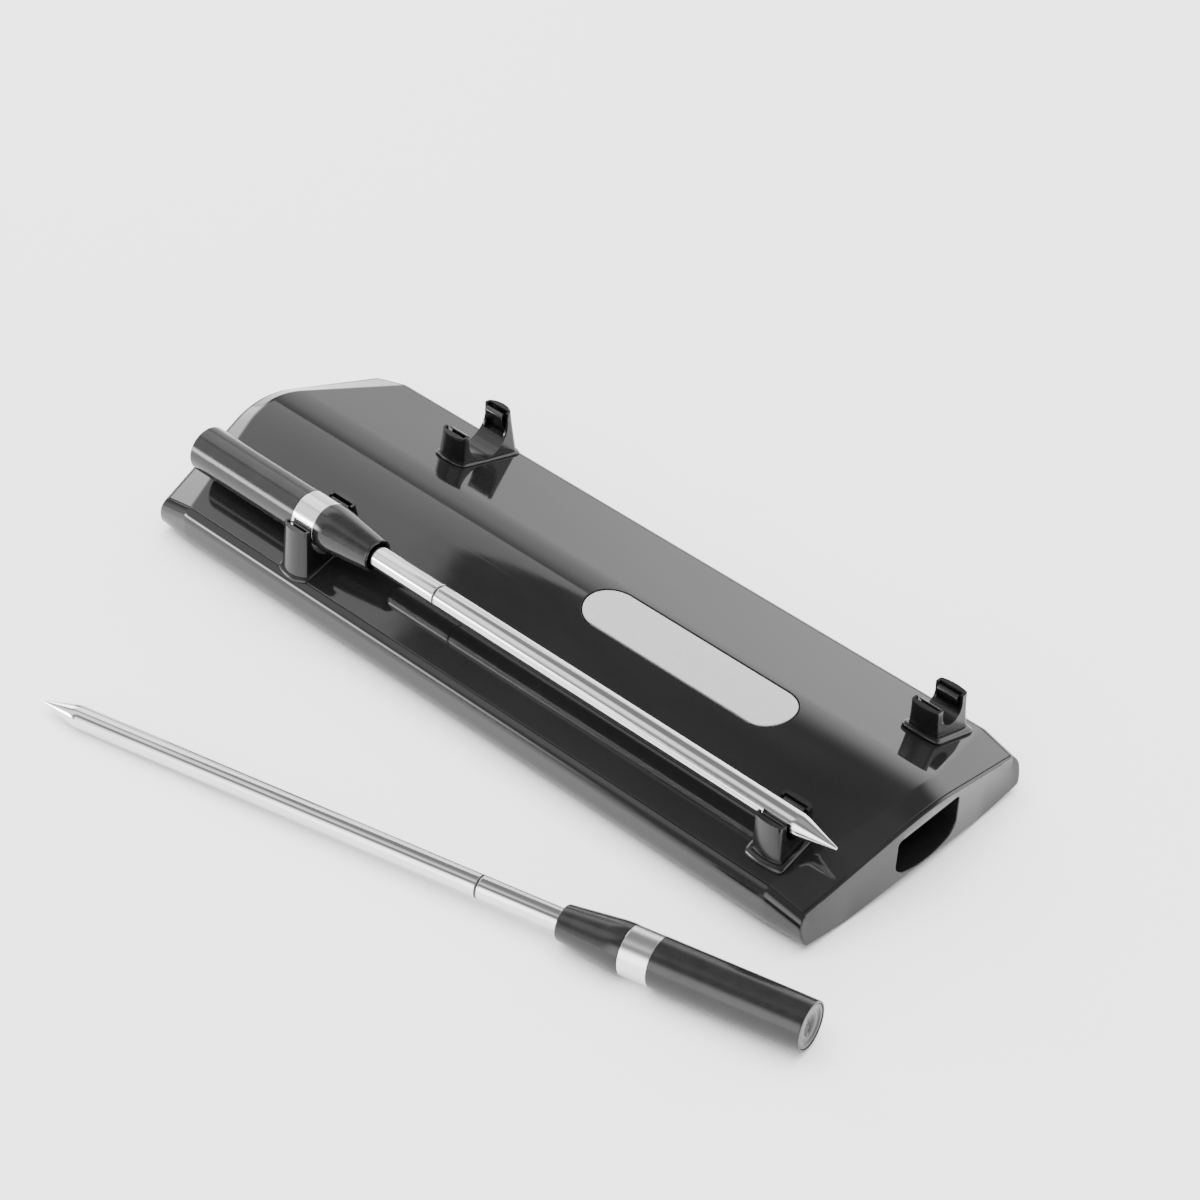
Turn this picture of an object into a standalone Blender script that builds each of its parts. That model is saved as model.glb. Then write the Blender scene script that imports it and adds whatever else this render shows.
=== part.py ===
"""Wireless meat thermometer set: a charging base with four clips, one docked probe and one loose probe.

Run with: blender --background --python part.py
Axes: +X along the base towards the charge socket, +Y to the back, +Z up. The origin is on the ground
under the middle of the base. Every length is in metres.
"""
from math import asin, cos, hypot, pi, radians, sin, sqrt, tan

import bmesh
import bpy
from mathutils import Matrix, Vector

MM = 0.001

# Base hull: a low roof with a rounded ridge, rounded long sides and bevelled, bowed ends
RIDGE_HEIGHT = 19.2 * MM
RIDGE_RADIUS = 27.6 * MM
ROOF_ANGLE = radians(17.2)
HALF_WIDTH = 33.2 * MM
SHOULDER_RADIUS = 3.1 * MM
SKIRT_TOP = 5.6 * MM
SKIRT_REACH = 1.5 * MM
UNDERSIDE = 0.4 * MM
CHINE_RISE = 1.5 * MM
FLAT_HALF = 20.0 * MM
CREASE_X = 91.2 * MM
CREASE_RAKE = 0.94
END_X = 95.5 * MM
END_RAKE = 0.43
END_DROP = 2.1 * MM
END_NARROWING = 0.982
LOW_END_X = 93.1 * MM
LOW_END_BOW = 1.3 * MM
LOW_END_RISE = 2.0 * MM
LOW_END_BOW_HALF = 20.0 * MM
RIDGE_STEPS = 4
SHOULDER_STEPS = 5

# Shells
GAP = 0.3 * MM
WALL = 2.2 * MM
COVER_THICKNESS = 2.0 * MM
COVER_END_THICKNESS = 0.8 * MM
COVER_END_INSET = 0.8 * MM
COVER_HALF_WIDTH = 31.15 * MM
CAVITY_HALF_WIDTH = 28.4 * MM
CAVITY_HALF_LENGTH = 88.5 * MM
FLOOR_TOP = UNDERSIDE + WALL

# Badge plate on the ridge
PLATE_CENTRE_X = 33.0 * MM
PLATE_LENGTH = 54.6 * MM
PLATE_WIDTH = 11.8 * MM
PLATE_THICKNESS = 0.9 * MM
PLATE_STEPS = 16

# Charge socket recess in the right end
RECESS_CENTRE_Y = 1.5 * MM
RECESS_HALF_WIDTH = 9.1 * MM
RECESS_TOP = 13.7 * MM
RECESS_SIDE_LOW = 6.1 * MM
RECESS_CHAMFER = 2.0 * MM
RECESS_SAG = 1.15 * MM
RECESS_CORNER = 1.3 * MM
RECESS_BACK_X = 79.0 * MM
POCKET_WALL = 1.4 * MM
SOCKET_LENGTH = 7.8 * MM
SOCKET_WIDTH = 9.0 * MM
SOCKET_HEIGHT = 3.2 * MM
SOCKET_SHELL = 0.35 * MM
SOCKET_Z = 8.9 * MM

# Screws
SCREW_X = 66.0 * MM
SCREW_Y = 20.0 * MM
SCREW_RADIUS = 1.2 * MM
SCREW_HEAD_RADIUS = 2.3 * MM
SCREW_HEAD_HEIGHT = 1.6 * MM
SCREW_SEAT = 3.4 * MM
SCREW_TOP = 11.0 * MM
BOSS_SPLIT = 5.8 * MM
BOSS_RADIUS = 3.6 * MM

# Pad
PAD_LENGTH = 110.0 * MM
PAD_WIDTH = 34.0 * MM
PAD_THICKNESS = 1.1 * MM

# Probe docks
DOCK_Y = 22.8 * MM
DOCK_HEIGHT = 20.5 * MM
HANDLE_CLIP_X = -50.7 * MM
TIP_CLIP_X = 78.7 * MM

# Probe, measured along its axis from the tip
PROBE_LENGTH = 178.4 * MM
SHAFT_RADIUS = 2.5 * MM
HANDLE_RADIUS = 5.1 * MM
LIP_RADIUS = 3.65 * MM
SHAFT_BORE = 1.9 * MM
POINT_LENGTH = 8.9 * MM
JOINT_AT = 106.3 * MM
JOINT_WIDTH = 0.5 * MM
LIP_AT = 125.2 * MM
BAND_AT = 139.8 * MM
HANDLE_AT = 146.1 * MM
DOCKED_TIP = Vector((92.0 * MM, -DOCK_Y, DOCK_HEIGHT))
LOOSE_YAW = radians(12.34)
LOOSE_REST_AT = POINT_LENGTH + 0.9 * MM
LOOSE_TILT = asin((HANDLE_RADIUS - SHAFT_RADIUS) / (BAND_AT - LOOSE_REST_AT))
LOOSE_TIP = Vector((-64.4 * MM, -87.4 * MM, SHAFT_RADIUS + 0.02 * MM - LOOSE_REST_AT * sin(LOOSE_TILT)))

ROUND = 32
FINE_ROUND = 24
SMALL_ROUND = 16
LARGE_SHELLS = ("lower_housing", "top_cover")


# ---------------------------------------------------------------- scene helpers
def clear_scene():
    for item in list(bpy.data.objects):
        bpy.data.objects.remove(item, do_unlink=True)


def material(name, colour, roughness, metallic=0.0):
    made = bpy.data.materials.get(name)
    if made:
        return made
    made = bpy.data.materials.new(name)
    made.use_nodes = True
    shader = made.node_tree.nodes["Principled BSDF"]
    shader.inputs["Base Color"].default_value = (*colour, 1.0)
    shader.inputs["Roughness"].default_value = roughness
    shader.inputs["Metallic"].default_value = metallic
    made.diffuse_color = (*colour, 1.0)
    return made


def gloss_black():
    return material("gloss_black_plastic", (0.02, 0.02, 0.021), 0.12)


def handle_black():
    return material("satin_black_ceramic", (0.03, 0.03, 0.031), 0.28)


def polished_steel():
    return material("polished_steel", (0.78, 0.78, 0.78), 0.1, 1.0)


def spring_steel():
    return material("dark_spring_steel", (0.16, 0.16, 0.16), 0.3, 1.0)


def zinc_steel():
    return material("zinc_steel", (0.55, 0.56, 0.58), 0.35, 1.0)


def silver_plate():
    return material("satin_silver", (0.62, 0.62, 0.62), 0.45, 0.3)


def rubber():
    return material("black_rubber", (0.03, 0.03, 0.03), 0.85)


def insulator():
    return material("black_insulator", (0.02, 0.02, 0.02), 0.5)


def circuit_board():
    return material("circuit_board", (0.02, 0.16, 0.06), 0.5)


def cell_wrap():
    return material("cell_wrap", (0.1, 0.22, 0.42), 0.4)


def copper():
    return material("copper", (0.72, 0.35, 0.18), 0.35, 1.0)


def finish_mesh(bm):
    bmesh.ops.recalc_face_normals(bm, faces=bm.faces)
    mesh = bpy.data.meshes.new("shape")
    bm.to_mesh(mesh)
    bm.free()
    mesh.shade_smooth()
    mesh.set_sharp_from_angle(angle=radians(32))
    return mesh


def add_object(name, mesh, finish=None, parent=None, location=(0, 0, 0), turn=0.0):
    item = bpy.data.objects.new(name, mesh)
    bpy.context.collection.objects.link(item)
    item.location = location
    item.rotation_euler = (0.0, 0.0, turn)
    item.parent = parent
    if finish and not mesh.materials:
        mesh.materials.append(finish)
    return item


def combine(target, mesh, operation):
    """Cut mesh from the target, or join it on, with a hidden tool object that follows the target."""
    tool = add_object(target.name + "_tool", mesh, parent=target)
    tool.hide_render = True
    tool.display_type = "WIRE"
    if target.name in LARGE_SHELLS:
        target.modifiers.new("facets", "TRIANGULATE")
    change = target.modifiers.new("shape", "BOOLEAN")
    change.operation = operation
    change.solver = "EXACT"
    change.object = tool


def cut(target, mesh):
    combine(target, mesh, "DIFFERENCE")


def join(target, mesh):
    combine(target, mesh, "UNION")


# ---------------------------------------------------------------- mesh builders
def box_mesh(low, high):
    bm = bmesh.new()
    size = Vector(high) - Vector(low)
    centre = (Vector(high) + Vector(low)) / 2
    place = Matrix.Translation(centre) @ Matrix.Diagonal((*size, 1.0))
    bmesh.ops.create_cube(bm, size=1.0, matrix=place)
    return finish_mesh(bm)


def loft_mesh(loops):
    """Close a stack of equal loops into one solid, with a flat face on each end."""
    bm = bmesh.new()
    rows = [[bm.verts.new(point) for point in loop] for loop in loops]
    bm.faces.new(rows[0])
    bm.faces.new(rows[-1])
    for low, high in zip(rows, rows[1:]):
        for i in range(len(low)):
            j = (i + 1) % len(low)
            bm.faces.new((low[i], low[j], high[j], high[i]))
    return finish_mesh(bm)


def strip_mesh(stations):
    """Solid between an upper and a lower skin; each station is a row of (upper, lower) point pairs."""
    bm = bmesh.new()
    uppers = [[bm.verts.new(pair[0]) for pair in row] for row in stations]
    lowers = [[bm.verts.new(pair[1]) for pair in row] for row in stations]
    last = len(stations[0]) - 1
    for s in range(len(stations) - 1):
        for i in range(last):
            bm.faces.new((uppers[s][i], uppers[s + 1][i], uppers[s + 1][i + 1], uppers[s][i + 1]))
            bm.faces.new((lowers[s][i], lowers[s][i + 1], lowers[s + 1][i + 1], lowers[s + 1][i]))
        for i in (0, last):
            bm.faces.new((uppers[s][i], lowers[s][i], lowers[s + 1][i], uppers[s + 1][i]))
    for s in (0, -1):
        for i in range(last):
            bm.faces.new((uppers[s][i], uppers[s][i + 1], lowers[s][i + 1], lowers[s][i]))
    return finish_mesh(bm)


def turned_mesh(profile, steps=ROUND, axis="X"):
    """Turn (distance along axis, radius) points round the axis; radius 0 at both ends closes the solid."""
    bm = bmesh.new()
    closed_ring = profile[0][1] > 0
    rows = []
    for along, radius in profile:
        if radius == 0:
            rows.append([bm.verts.new((along, 0, 0))])
            continue
        angles = [2 * pi * k / steps for k in range(steps)]
        rows.append([bm.verts.new((along, radius * cos(a), radius * sin(a))) for a in angles])
    pairs = list(zip(rows, rows[1:]))
    if closed_ring:
        pairs.append((rows[-1], rows[0]))
    for low, high in pairs:
        for k in range(steps):
            n = (k + 1) % steps
            corners = [low[k % len(low)], low[n % len(low)], high[n % len(high)], high[k % len(high)]]
            bm.faces.new(list(dict.fromkeys(corners)))
    if axis == "Z":
        bmesh.ops.rotate(bm, verts=bm.verts, matrix=Matrix.Rotation(-pi / 2, 3, "Y"))
    return finish_mesh(bm)


def rod(start, end, radius):
    return [(start, 0), (start, radius), (end, radius), (end, 0)]


def tube(start, end, outer, inner, edge=0.0):
    """Tube profile whose outer rims are broken by a small chamfer."""
    outside = [(start, outer), (end, outer)]
    if edge:
        outside = [(start, outer - edge), (start + edge, outer), (end - edge, outer), (end, outer - edge)]
    return outside + [(end, inner), (start, inner)]


def cylinder_mesh(radius, low, high, place=(0, 0), steps=FINE_ROUND):
    """Upright cylinder at an x, y place between two heights."""
    mesh = turned_mesh(rod(low, high, radius), steps, "Z")
    mesh.transform(Matrix.Translation((*place, 0)))
    return mesh


# ---------------------------------------------------------------- hull outline
RIDGE_TANGENT = RIDGE_RADIUS * sin(ROOF_ANGLE)
SHOULDER_START = HALF_WIDTH - SHOULDER_RADIUS * (1 - sin(ROOF_ANGLE))
CHINE_HALF = HALF_WIDTH - SKIRT_REACH


def roof_drop(y):
    y = abs(y)
    if y < RIDGE_TANGENT:
        return RIDGE_RADIUS - sqrt(RIDGE_RADIUS ** 2 - y * y)
    return RIDGE_RADIUS * (1 - cos(ROOF_ANGLE)) + (y - RIDGE_TANGENT) * tan(ROOF_ANGLE)


def roof_height(y):
    return RIDGE_HEIGHT - roof_drop(y)


def roof_samples(half_width):
    ridge = [RIDGE_TANGENT * k / RIDGE_STEPS for k in range(RIDGE_STEPS + 1)]
    half = ridge + [(RIDGE_TANGENT + half_width) / 2, half_width]
    return [-y for y in reversed(half[1:])] + half


def crease_x(y):
    return CREASE_X - CREASE_RAKE * roof_drop(y)


def end_x(y):
    return END_X - END_RAKE * roof_drop(y)


def underside_height(y):
    """The bottom is flat in the middle and rises gently to the foot of the long sides."""
    return UNDERSIDE + CHINE_RISE * max(0.0, abs(y) - FLAT_HALF) / (CHINE_HALF - FLAT_HALF)


def end_flank_x(z):
    """Distance out of the end face along its sides, which lean outwards going down."""
    top_z = roof_height(SHOULDER_START) - END_DROP
    low_z = UNDERSIDE + CHINE_RISE
    top_x = end_x(SHOULDER_START)
    part = min(max((top_z - z) / (top_z - low_z), 0.0), 1.0)
    return top_x + (LOW_END_X - top_x) * part


def hull_station(side, at_end):
    """Pairs of upper and lower points across the hull, at a crease or at an end."""
    low_ratio = CHINE_HALF / SHOULDER_START
    roof = []
    for y in roof_samples(SHOULDER_START):
        low_y = y * low_ratio
        low_z = underside_height(low_y)
        bow = max(0.0, 1 - (low_y / LOW_END_BOW_HALF) ** 2)
        if at_end:
            upper = (side * end_x(y), y * END_NARROWING, roof_height(y) - END_DROP)
            low_x = LOW_END_X + LOW_END_BOW * bow
            lower = (side * low_x, low_y * END_NARROWING, low_z + LOW_END_RISE * bow)
        else:
            upper = (side * crease_x(y), y, roof_height(y))
            lower = (side * crease_x(y), low_y, low_z)
        roof.append((upper, lower))
    centre_y = HALF_WIDTH - SHOULDER_RADIUS
    centre_z = roof_height(SHOULDER_START) - SHOULDER_RADIUS * cos(ROOF_ANGLE)
    flank = []
    for k in range(1, SHOULDER_STEPS + 1):
        part = 1 - k / SHOULDER_STEPS
        rise = (pi / 2 - ROOF_ANGLE) * part
        fall = pi / 2 * part
        high = Vector((0, centre_y + SHOULDER_RADIUS * cos(rise), centre_z + SHOULDER_RADIUS * sin(rise)))
        low_y = HALF_WIDTH - SKIRT_REACH * (1 - cos(fall))
        low = Vector((0, low_y, SKIRT_TOP - (SKIRT_TOP - UNDERSIDE - CHINE_RISE) * sin(fall)))
        high.x = low.x = side * crease_x(SHOULDER_START)
        if at_end:
            high.z -= END_DROP
            high.x = side * end_flank_x(high.z)
            low.x = side * end_flank_x(low.z)
            high.y *= END_NARROWING
            low.y *= END_NARROWING
        flank.append((high, low))
    mirrored = [tuple(Vector((p.x, -p.y, p.z)) for p in pair) for pair in reversed(flank)]
    return mirrored + roof + flank


def hull_mesh():
    return strip_mesh([hull_station(-1, True), hull_station(-1, False),
                       hull_station(1, False), hull_station(1, True)])


def cover_station(side, at_end, half_width, below, above, inset):
    """Pairs of points across the cover, at a crease or an inset short of an end, between two offsets."""
    thickness = COVER_END_THICKNESS if at_end else COVER_THICKNESS
    pairs = []
    for y in roof_samples(half_width):
        back = inset / (end_x(y) - crease_x(y)) if at_end else 1.0
        x = side * (end_x(y) + (crease_x(y) - end_x(y)) * back)
        z = roof_height(y) - END_DROP * (1 - back)
        across = y * (END_NARROWING + (1 - END_NARROWING) * back)
        pairs.append(((x, across, z + above), (x, across, z - thickness - below)))
    return pairs


def cover_mesh():
    plain = (COVER_HALF_WIDTH, 0.0, 0.0, COVER_END_INSET)
    return strip_mesh([cover_station(side, at_end, *plain)
                       for side, at_end in ((-1, True), (-1, False), (1, False), (1, True))])


def cover_clearance_mesh():
    """The cover grown by the gap all round and open upwards, to cut its seat in the housing."""
    grown = (COVER_HALF_WIDTH + GAP, GAP, 10 * MM, COVER_END_INSET - GAP)
    return strip_mesh([cover_station(side, at_end, *grown)
                       for side, at_end in ((-1, True), (-1, False), (1, False), (1, True))])


def plate_mesh(margin, top, bottom):
    """Pill-shaped strip that follows the ridge, between two offsets from the roof surface."""
    radius = PLATE_WIDTH / 2 + margin
    straight = PLATE_LENGTH / 2 - PLATE_WIDTH / 2
    left, right = [], []
    for k in range(PLATE_STEPS + 1):
        turn = pi * (k / PLATE_STEPS - 0.5)
        y = radius * sin(turn)
        reach = straight + radius * cos(turn)
        high = roof_height(y) + top
        low = roof_height(y) + bottom
        left.append(((PLATE_CENTRE_X - reach, y, high), (PLATE_CENTRE_X - reach, y, low)))
        right.append(((PLATE_CENTRE_X + reach, y, high), (PLATE_CENTRE_X + reach, y, low)))
    return strip_mesh([left, right])


# ---------------------------------------------------------------- base shells
def recess_mesh():
    """Cutter for the socket recess: straight top with round corners, and a chamfered bottom that sags."""
    arc_half = RECESS_HALF_WIDTH - RECESS_CHAMFER
    arc_radius = (arc_half ** 2 + RECESS_SAG ** 2) / (2 * RECESS_SAG)
    half_angle = asin(arc_half / arc_radius)
    arc_centre = RECESS_SIDE_LOW - RECESS_CHAMFER - RECESS_SAG + arc_radius
    outline = []
    for k in range(5):
        turn = pi / 2 * k / 4
        y = RECESS_HALF_WIDTH - RECESS_CORNER * (1 - cos(turn))
        outline.append((y, RECESS_TOP - RECESS_CORNER * (1 - sin(turn))))
    outline = [(RECESS_HALF_WIDTH, RECESS_SIDE_LOW)] + outline
    outline += [(-y, z) for y, z in reversed(outline)]
    for k in range(9):
        turn = half_angle * (k / 4 - 1)
        outline.append((arc_radius * sin(turn), arc_centre - arc_radius * cos(turn)))
    loops = [[(x, RECESS_CENTRE_Y + y, z) for y, z in outline] for x in (RECESS_BACK_X, END_X + WALL)]
    return loft_mesh(loops)


def socket_slot_mesh():
    half_width = SOCKET_WIDTH / 2 + GAP
    half_height = SOCKET_HEIGHT / 2 + GAP
    low = (RECESS_BACK_X - SOCKET_LENGTH, RECESS_CENTRE_Y - half_width, SOCKET_Z - half_height)
    high = (RECESS_BACK_X + GAP, RECESS_CENTRE_Y + half_width, SOCKET_Z + half_height)
    return box_mesh(low, high)


def screw_bore_mesh(place):
    """Clearance hole with a wider seat for the screw's head, open at the underside."""
    wide, narrow = SCREW_HEAD_RADIUS + GAP, SCREW_RADIUS + GAP
    top = BOSS_SPLIT + WALL
    profile = [(-WALL, 0), (-WALL, wide), (SCREW_SEAT, wide), (SCREW_SEAT, narrow), (top, narrow), (top, 0)]
    mesh = turned_mesh(profile, FINE_ROUND, "Z")
    mesh.transform(Matrix.Translation((*place, 0)))
    return mesh


def cover_boss_mesh(place):
    """Post under the cover, its top slanted with the roof so that it ends inside the cover."""
    turns = [2 * pi * k / FINE_ROUND for k in range(FINE_ROUND)]
    ring = [(place[0] + BOSS_RADIUS * cos(turn), place[1] + BOSS_RADIUS * sin(turn)) for turn in turns]
    return loft_mesh([[(x, y, BOSS_SPLIT + GAP) for x, y in ring],
                      [(x, y, roof_height(y) - COVER_THICKNESS / 2) for x, y in ring]])


def screw_places():
    return [(x, y) for x in (-SCREW_X, SCREW_X) for y in (-SCREW_Y, SCREW_Y)]


def lower_housing():
    housing = add_object("lower_housing", hull_mesh(), gloss_black())
    inside = (CAVITY_HALF_LENGTH, CAVITY_HALF_WIDTH)
    cut(housing, box_mesh((-inside[0], -inside[1], FLOOR_TOP), (*inside, 2 * RIDGE_HEIGHT)))
    pocket_half = RECESS_HALF_WIDTH + POCKET_WALL
    pocket_low = (RECESS_BACK_X - POCKET_WALL, RECESS_CENTRE_Y - pocket_half, FLOOR_TOP / 2)
    pocket_high = (CAVITY_HALF_LENGTH + WALL / 2, RECESS_CENTRE_Y + pocket_half, RECESS_TOP + POCKET_WALL)
    join(housing, box_mesh(pocket_low, pocket_high))
    for place in screw_places():
        join(housing, cylinder_mesh(BOSS_RADIUS, FLOOR_TOP / 2, BOSS_SPLIT, place))
    cut(housing, cover_clearance_mesh())
    cut(housing, recess_mesh())
    cut(housing, socket_slot_mesh())
    for place in screw_places():
        cut(housing, screw_bore_mesh(place))
    pad = (PAD_LENGTH / 2 + GAP, PAD_WIDTH / 2 + GAP)
    cut(housing, box_mesh((-pad[0], -pad[1], -WALL), (*pad, PAD_THICKNESS + GAP)))


def clip_places():
    """Name, x, y and quarter turn of the four clips."""
    return [("handle_clip_front", HANDLE_CLIP_X, -DOCK_Y, 0.0),
            ("handle_clip_rear", HANDLE_CLIP_X, DOCK_Y, pi),
            ("tip_clip_front", TIP_CLIP_X, -DOCK_Y, 0.0),
            ("tip_clip_rear", TIP_CLIP_X, DOCK_Y, pi)]


def top_cover():
    cover = add_object("top_cover", cover_mesh(), gloss_black())
    for place in screw_places():
        join(cover, cover_boss_mesh(place))
        cut(cover, cylinder_mesh(SCREW_RADIUS + GAP / 3, 0, SCREW_TOP + GAP, place, SMALL_ROUND))
    cut(cover, plate_mesh(GAP, WALL, -PLATE_THICKNESS - GAP))
    for _, x, y, _ in clip_places():
        half = STEM_HALF + GAP
        cut(cover, box_mesh((x - half, y - half, 0), (x + half, y + half, RIDGE_HEIGHT)))


def base_trim():
    add_object("badge_plate", plate_mesh(0.0, 0.0, -PLATE_THICKNESS), silver_plate())
    half = (PAD_LENGTH / 2, PAD_WIDTH / 2)
    add_object("anti_slip_pad", box_mesh((-half[0], -half[1], 0), (*half, PAD_THICKNESS)), rubber())
    head_low = SCREW_SEAT - GAP - SCREW_HEAD_HEIGHT
    profile = [(head_low, 0), (head_low, SCREW_HEAD_RADIUS), (SCREW_SEAT - GAP, SCREW_HEAD_RADIUS),
               (SCREW_SEAT - GAP, SCREW_RADIUS), (SCREW_TOP - SCREW_RADIUS / 2, SCREW_RADIUS), (SCREW_TOP, 0)]
    for number, place in enumerate(screw_places(), 1):
        mesh = turned_mesh(profile, SMALL_ROUND, "Z")
        add_object(f"case_screw_{number}", mesh, zinc_steel(), location=(*place, 0))


# ---------------------------------------------------------------- inside the base
BOARD_TOP = SOCKET_Z - SOCKET_HEIGHT / 2 - GAP / 3
BOARD_LEFT = 24.0 * MM
BOARD_HALF_WIDTH = 14.0 * MM
BOARD_THICKNESS = 1.2 * MM
CONTACT_BOARD = 7.6 * MM
CELL_LOW = (-42.0 * MM, -17.0 * MM, 4.2 * MM)
CELL_HIGH = (18.0 * MM, 17.0 * MM, 11.2 * MM)
FOAM_MARGIN = 4.0 * MM
ANTENNA_LOW = (-84.0 * MM, -12.0 * MM, 6.0 * MM)
ANTENNA_HIGH = (-72.0 * MM, 12.0 * MM, 7.0 * MM)
TONGUE_HALF_WIDTH = 3.3 * MM
TONGUE_HALF_HEIGHT = 0.35 * MM


def base_electronics():
    board_right = RECESS_BACK_X - POCKET_WALL - GAP
    board = box_mesh((BOARD_LEFT, -BOARD_HALF_WIDTH, BOARD_TOP - BOARD_THICKNESS),
                     (board_right, BOARD_HALF_WIDTH, BOARD_TOP))
    add_object("main_board", board, circuit_board())
    add_object("battery_cell", box_mesh(CELL_LOW, CELL_HIGH), cell_wrap())
    foam = box_mesh((CELL_LOW[0] + FOAM_MARGIN, CELL_LOW[1] + FOAM_MARGIN, FLOOR_TOP + GAP / 2),
                    (CELL_HIGH[0] - FOAM_MARGIN, CELL_HIGH[1] - FOAM_MARGIN, CELL_LOW[2] - GAP / 2))
    add_object("battery_foam", foam, rubber())
    add_object("base_antenna", box_mesh(ANTENNA_LOW, ANTENNA_HIGH), circuit_board())
    for name, x, y, _ in clip_places():
        half = CONTACT_BOARD / 2
        top = DOCK_HEIGHT + STEM_BOTTOM - GAP
        mesh = box_mesh((x - half, y - half, top - BOARD_THICKNESS), (x + half, y + half, top))
        add_object(name.replace("clip", "contact_board"), mesh, circuit_board())
    socket_shell()


def socket_shell():
    back = RECESS_BACK_X + GAP - SOCKET_LENGTH
    front = RECESS_BACK_X + GAP
    half_w, half_h = SOCKET_WIDTH / 2, SOCKET_HEIGHT / 2
    y = RECESS_CENTRE_Y
    outside = box_mesh((back, y - half_w, SOCKET_Z - half_h), (front, y + half_w, SOCKET_Z + half_h))
    shell = add_object("usb_receptacle", outside, zinc_steel())
    inner_w, inner_h = half_w - SOCKET_SHELL, half_h - SOCKET_SHELL
    cut(shell, box_mesh((back + MM, y - inner_w, SOCKET_Z - inner_h),
                        (RECESS_BACK_X + WALL, y + inner_w, SOCKET_Z + inner_h)))
    tongue = box_mesh((back + MM + GAP, y - TONGUE_HALF_WIDTH, SOCKET_Z - TONGUE_HALF_HEIGHT),
                      (RECESS_BACK_X - GAP, y + TONGUE_HALF_WIDTH, SOCKET_Z + TONGUE_HALF_HEIGHT))
    add_object("usb_tongue", tongue, insulator())


# ---------------------------------------------------------------- clips
STEM_HALF = 3.0 * MM
STEM_BOTTOM = -12.5 * MM
SEAT_GAP = 0.15 * MM
ARC_STEPS = 6


class ClipSize:
    """Dimensions of one kind of clip, measured from the axis of the probe that lies in it."""

    def __init__(self, bore, bore_lift, top, half_x, half_x_foot, side_y, bulge, flare, shoulder,
                 flange, flange_height, pocket_depth, crest_height, held_radius, relaxed_radius):
        self.bore = bore
        self.bore_lift = bore_lift
        self.top = top
        self.half_x = half_x
        self.half_x_foot = half_x_foot
        self.side_y = side_y
        self.bulge = bulge
        self.flare = flare
        self.shoulder = shoulder
        self.flange = flange
        self.flange_height = flange_height
        self.crest_height = crest_height
        self.held_radius = held_radius
        self.relaxed_radius = relaxed_radius
        self.pocket_half = half_x - 0.6 * MM
        self.pocket_back = bore + pocket_depth


HANDLE_CLIP = ClipSize(
    bore=5.8 * MM, bore_lift=-0.4 * MM, top=1.9 * MM, half_x=3.45 * MM, half_x_foot=3.85 * MM,
    side_y=6.95 * MM, bulge=1.1 * MM, flare=1.05 * MM, shoulder=-3.9 * MM,
    flange=0.6 * MM, flange_height=0.7 * MM, pocket_depth=0.95 * MM, crest_height=0.9 * MM,
    held_radius=HANDLE_RADIUS + 0.08 * MM, relaxed_radius=4.8 * MM)
TIP_CLIP = ClipSize(
    bore=3.0 * MM, bore_lift=-0.6 * MM, top=1.4 * MM, half_x=3.45 * MM, half_x_foot=3.8 * MM,
    side_y=4.55 * MM, bulge=0.5 * MM, flare=0.2 * MM, shoulder=-2.3 * MM,
    flange=1.2 * MM, flange_height=1.1 * MM, pocket_depth=0.8 * MM, crest_height=0.5 * MM,
    held_radius=SHAFT_RADIUS + 0.08 * MM, relaxed_radius=2.25 * MM)


def clip_outline(half_x, side_y, bulge):
    """Plan outline of a clip: straight flanks, and front and back faces that bulge."""
    front = []
    for k in range(ARC_STEPS + 1):
        part = 2 * k / ARC_STEPS - 1
        front.append((half_x * part, -side_y - bulge * (1 - part * part)))
    return front + [(-x, -y) for x, y in front]


def roof_offset(y):
    """Height of the roof below the probe axis, at a distance y towards the middle of the base."""
    return roof_height(DOCK_Y) - DOCK_HEIGHT + y * tan(ROOF_ANGLE)


def clip_mesh(size):
    foot = clip_outline(size.half_x_foot, size.side_y + size.flare, size.bulge)
    head = clip_outline(size.half_x, size.side_y, size.bulge)
    inner_head = clip_outline(size.half_x - 0.2 * MM, size.side_y - 0.2 * MM, size.bulge)
    return loft_mesh([[(x, y, roof_offset(y) + size.flange_height / 2) for x, y in foot],
                      [(x, y, size.top - 0.2 * MM) for x, y in head],
                      [(x, y, size.top) for x, y in inner_head]])


def flange_mesh(size):
    """Foot flange that follows the slope of the roof, with its top edge rounded by two chamfers."""
    loops = []
    steps = ((0.0, SEAT_GAP), (0.0, 0.4 * size.flange_height), (0.15, 0.8 * size.flange_height),
             (0.5, size.flange_height))
    for inset, lift in steps:
        grow = size.flange - inset * min(size.flange, MM)
        outline = clip_outline(size.half_x_foot + grow, size.side_y + size.flare + grow, size.bulge)
        loops.append([(x, y, roof_offset(y) + lift) for x, y in outline])
    return loft_mesh(loops)


def make_clip(name, size, x, y, turn):
    clip = add_object(name, clip_mesh(size), gloss_black(), location=(x, y, DOCK_HEIGHT), turn=turn)
    join(clip, flange_mesh(size))
    stem_top = roof_offset(0) + size.flange_height / 2
    join(clip, box_mesh((-STEM_HALF, -STEM_HALF, STEM_BOTTOM), (STEM_HALF, STEM_HALF, stem_top)))
    reach = size.half_x_foot + size.flange + MM
    bore = turned_mesh(rod(-reach, reach, size.bore), 48)
    bore.transform(Matrix.Translation((0, 0, size.bore_lift)))
    cut(clip, bore)
    cut(clip, box_mesh((-reach, -size.bore, size.bore_lift), (reach, size.bore, size.top + MM)))
    cut(clip, box_mesh((-size.pocket_half, -size.pocket_back, size.shoulder),
                       (size.pocket_half, size.pocket_back, size.top + MM)))


# ---------------------------------------------------------------- leaf springs
LEAF_THICKNESS = 0.3 * MM


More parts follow.
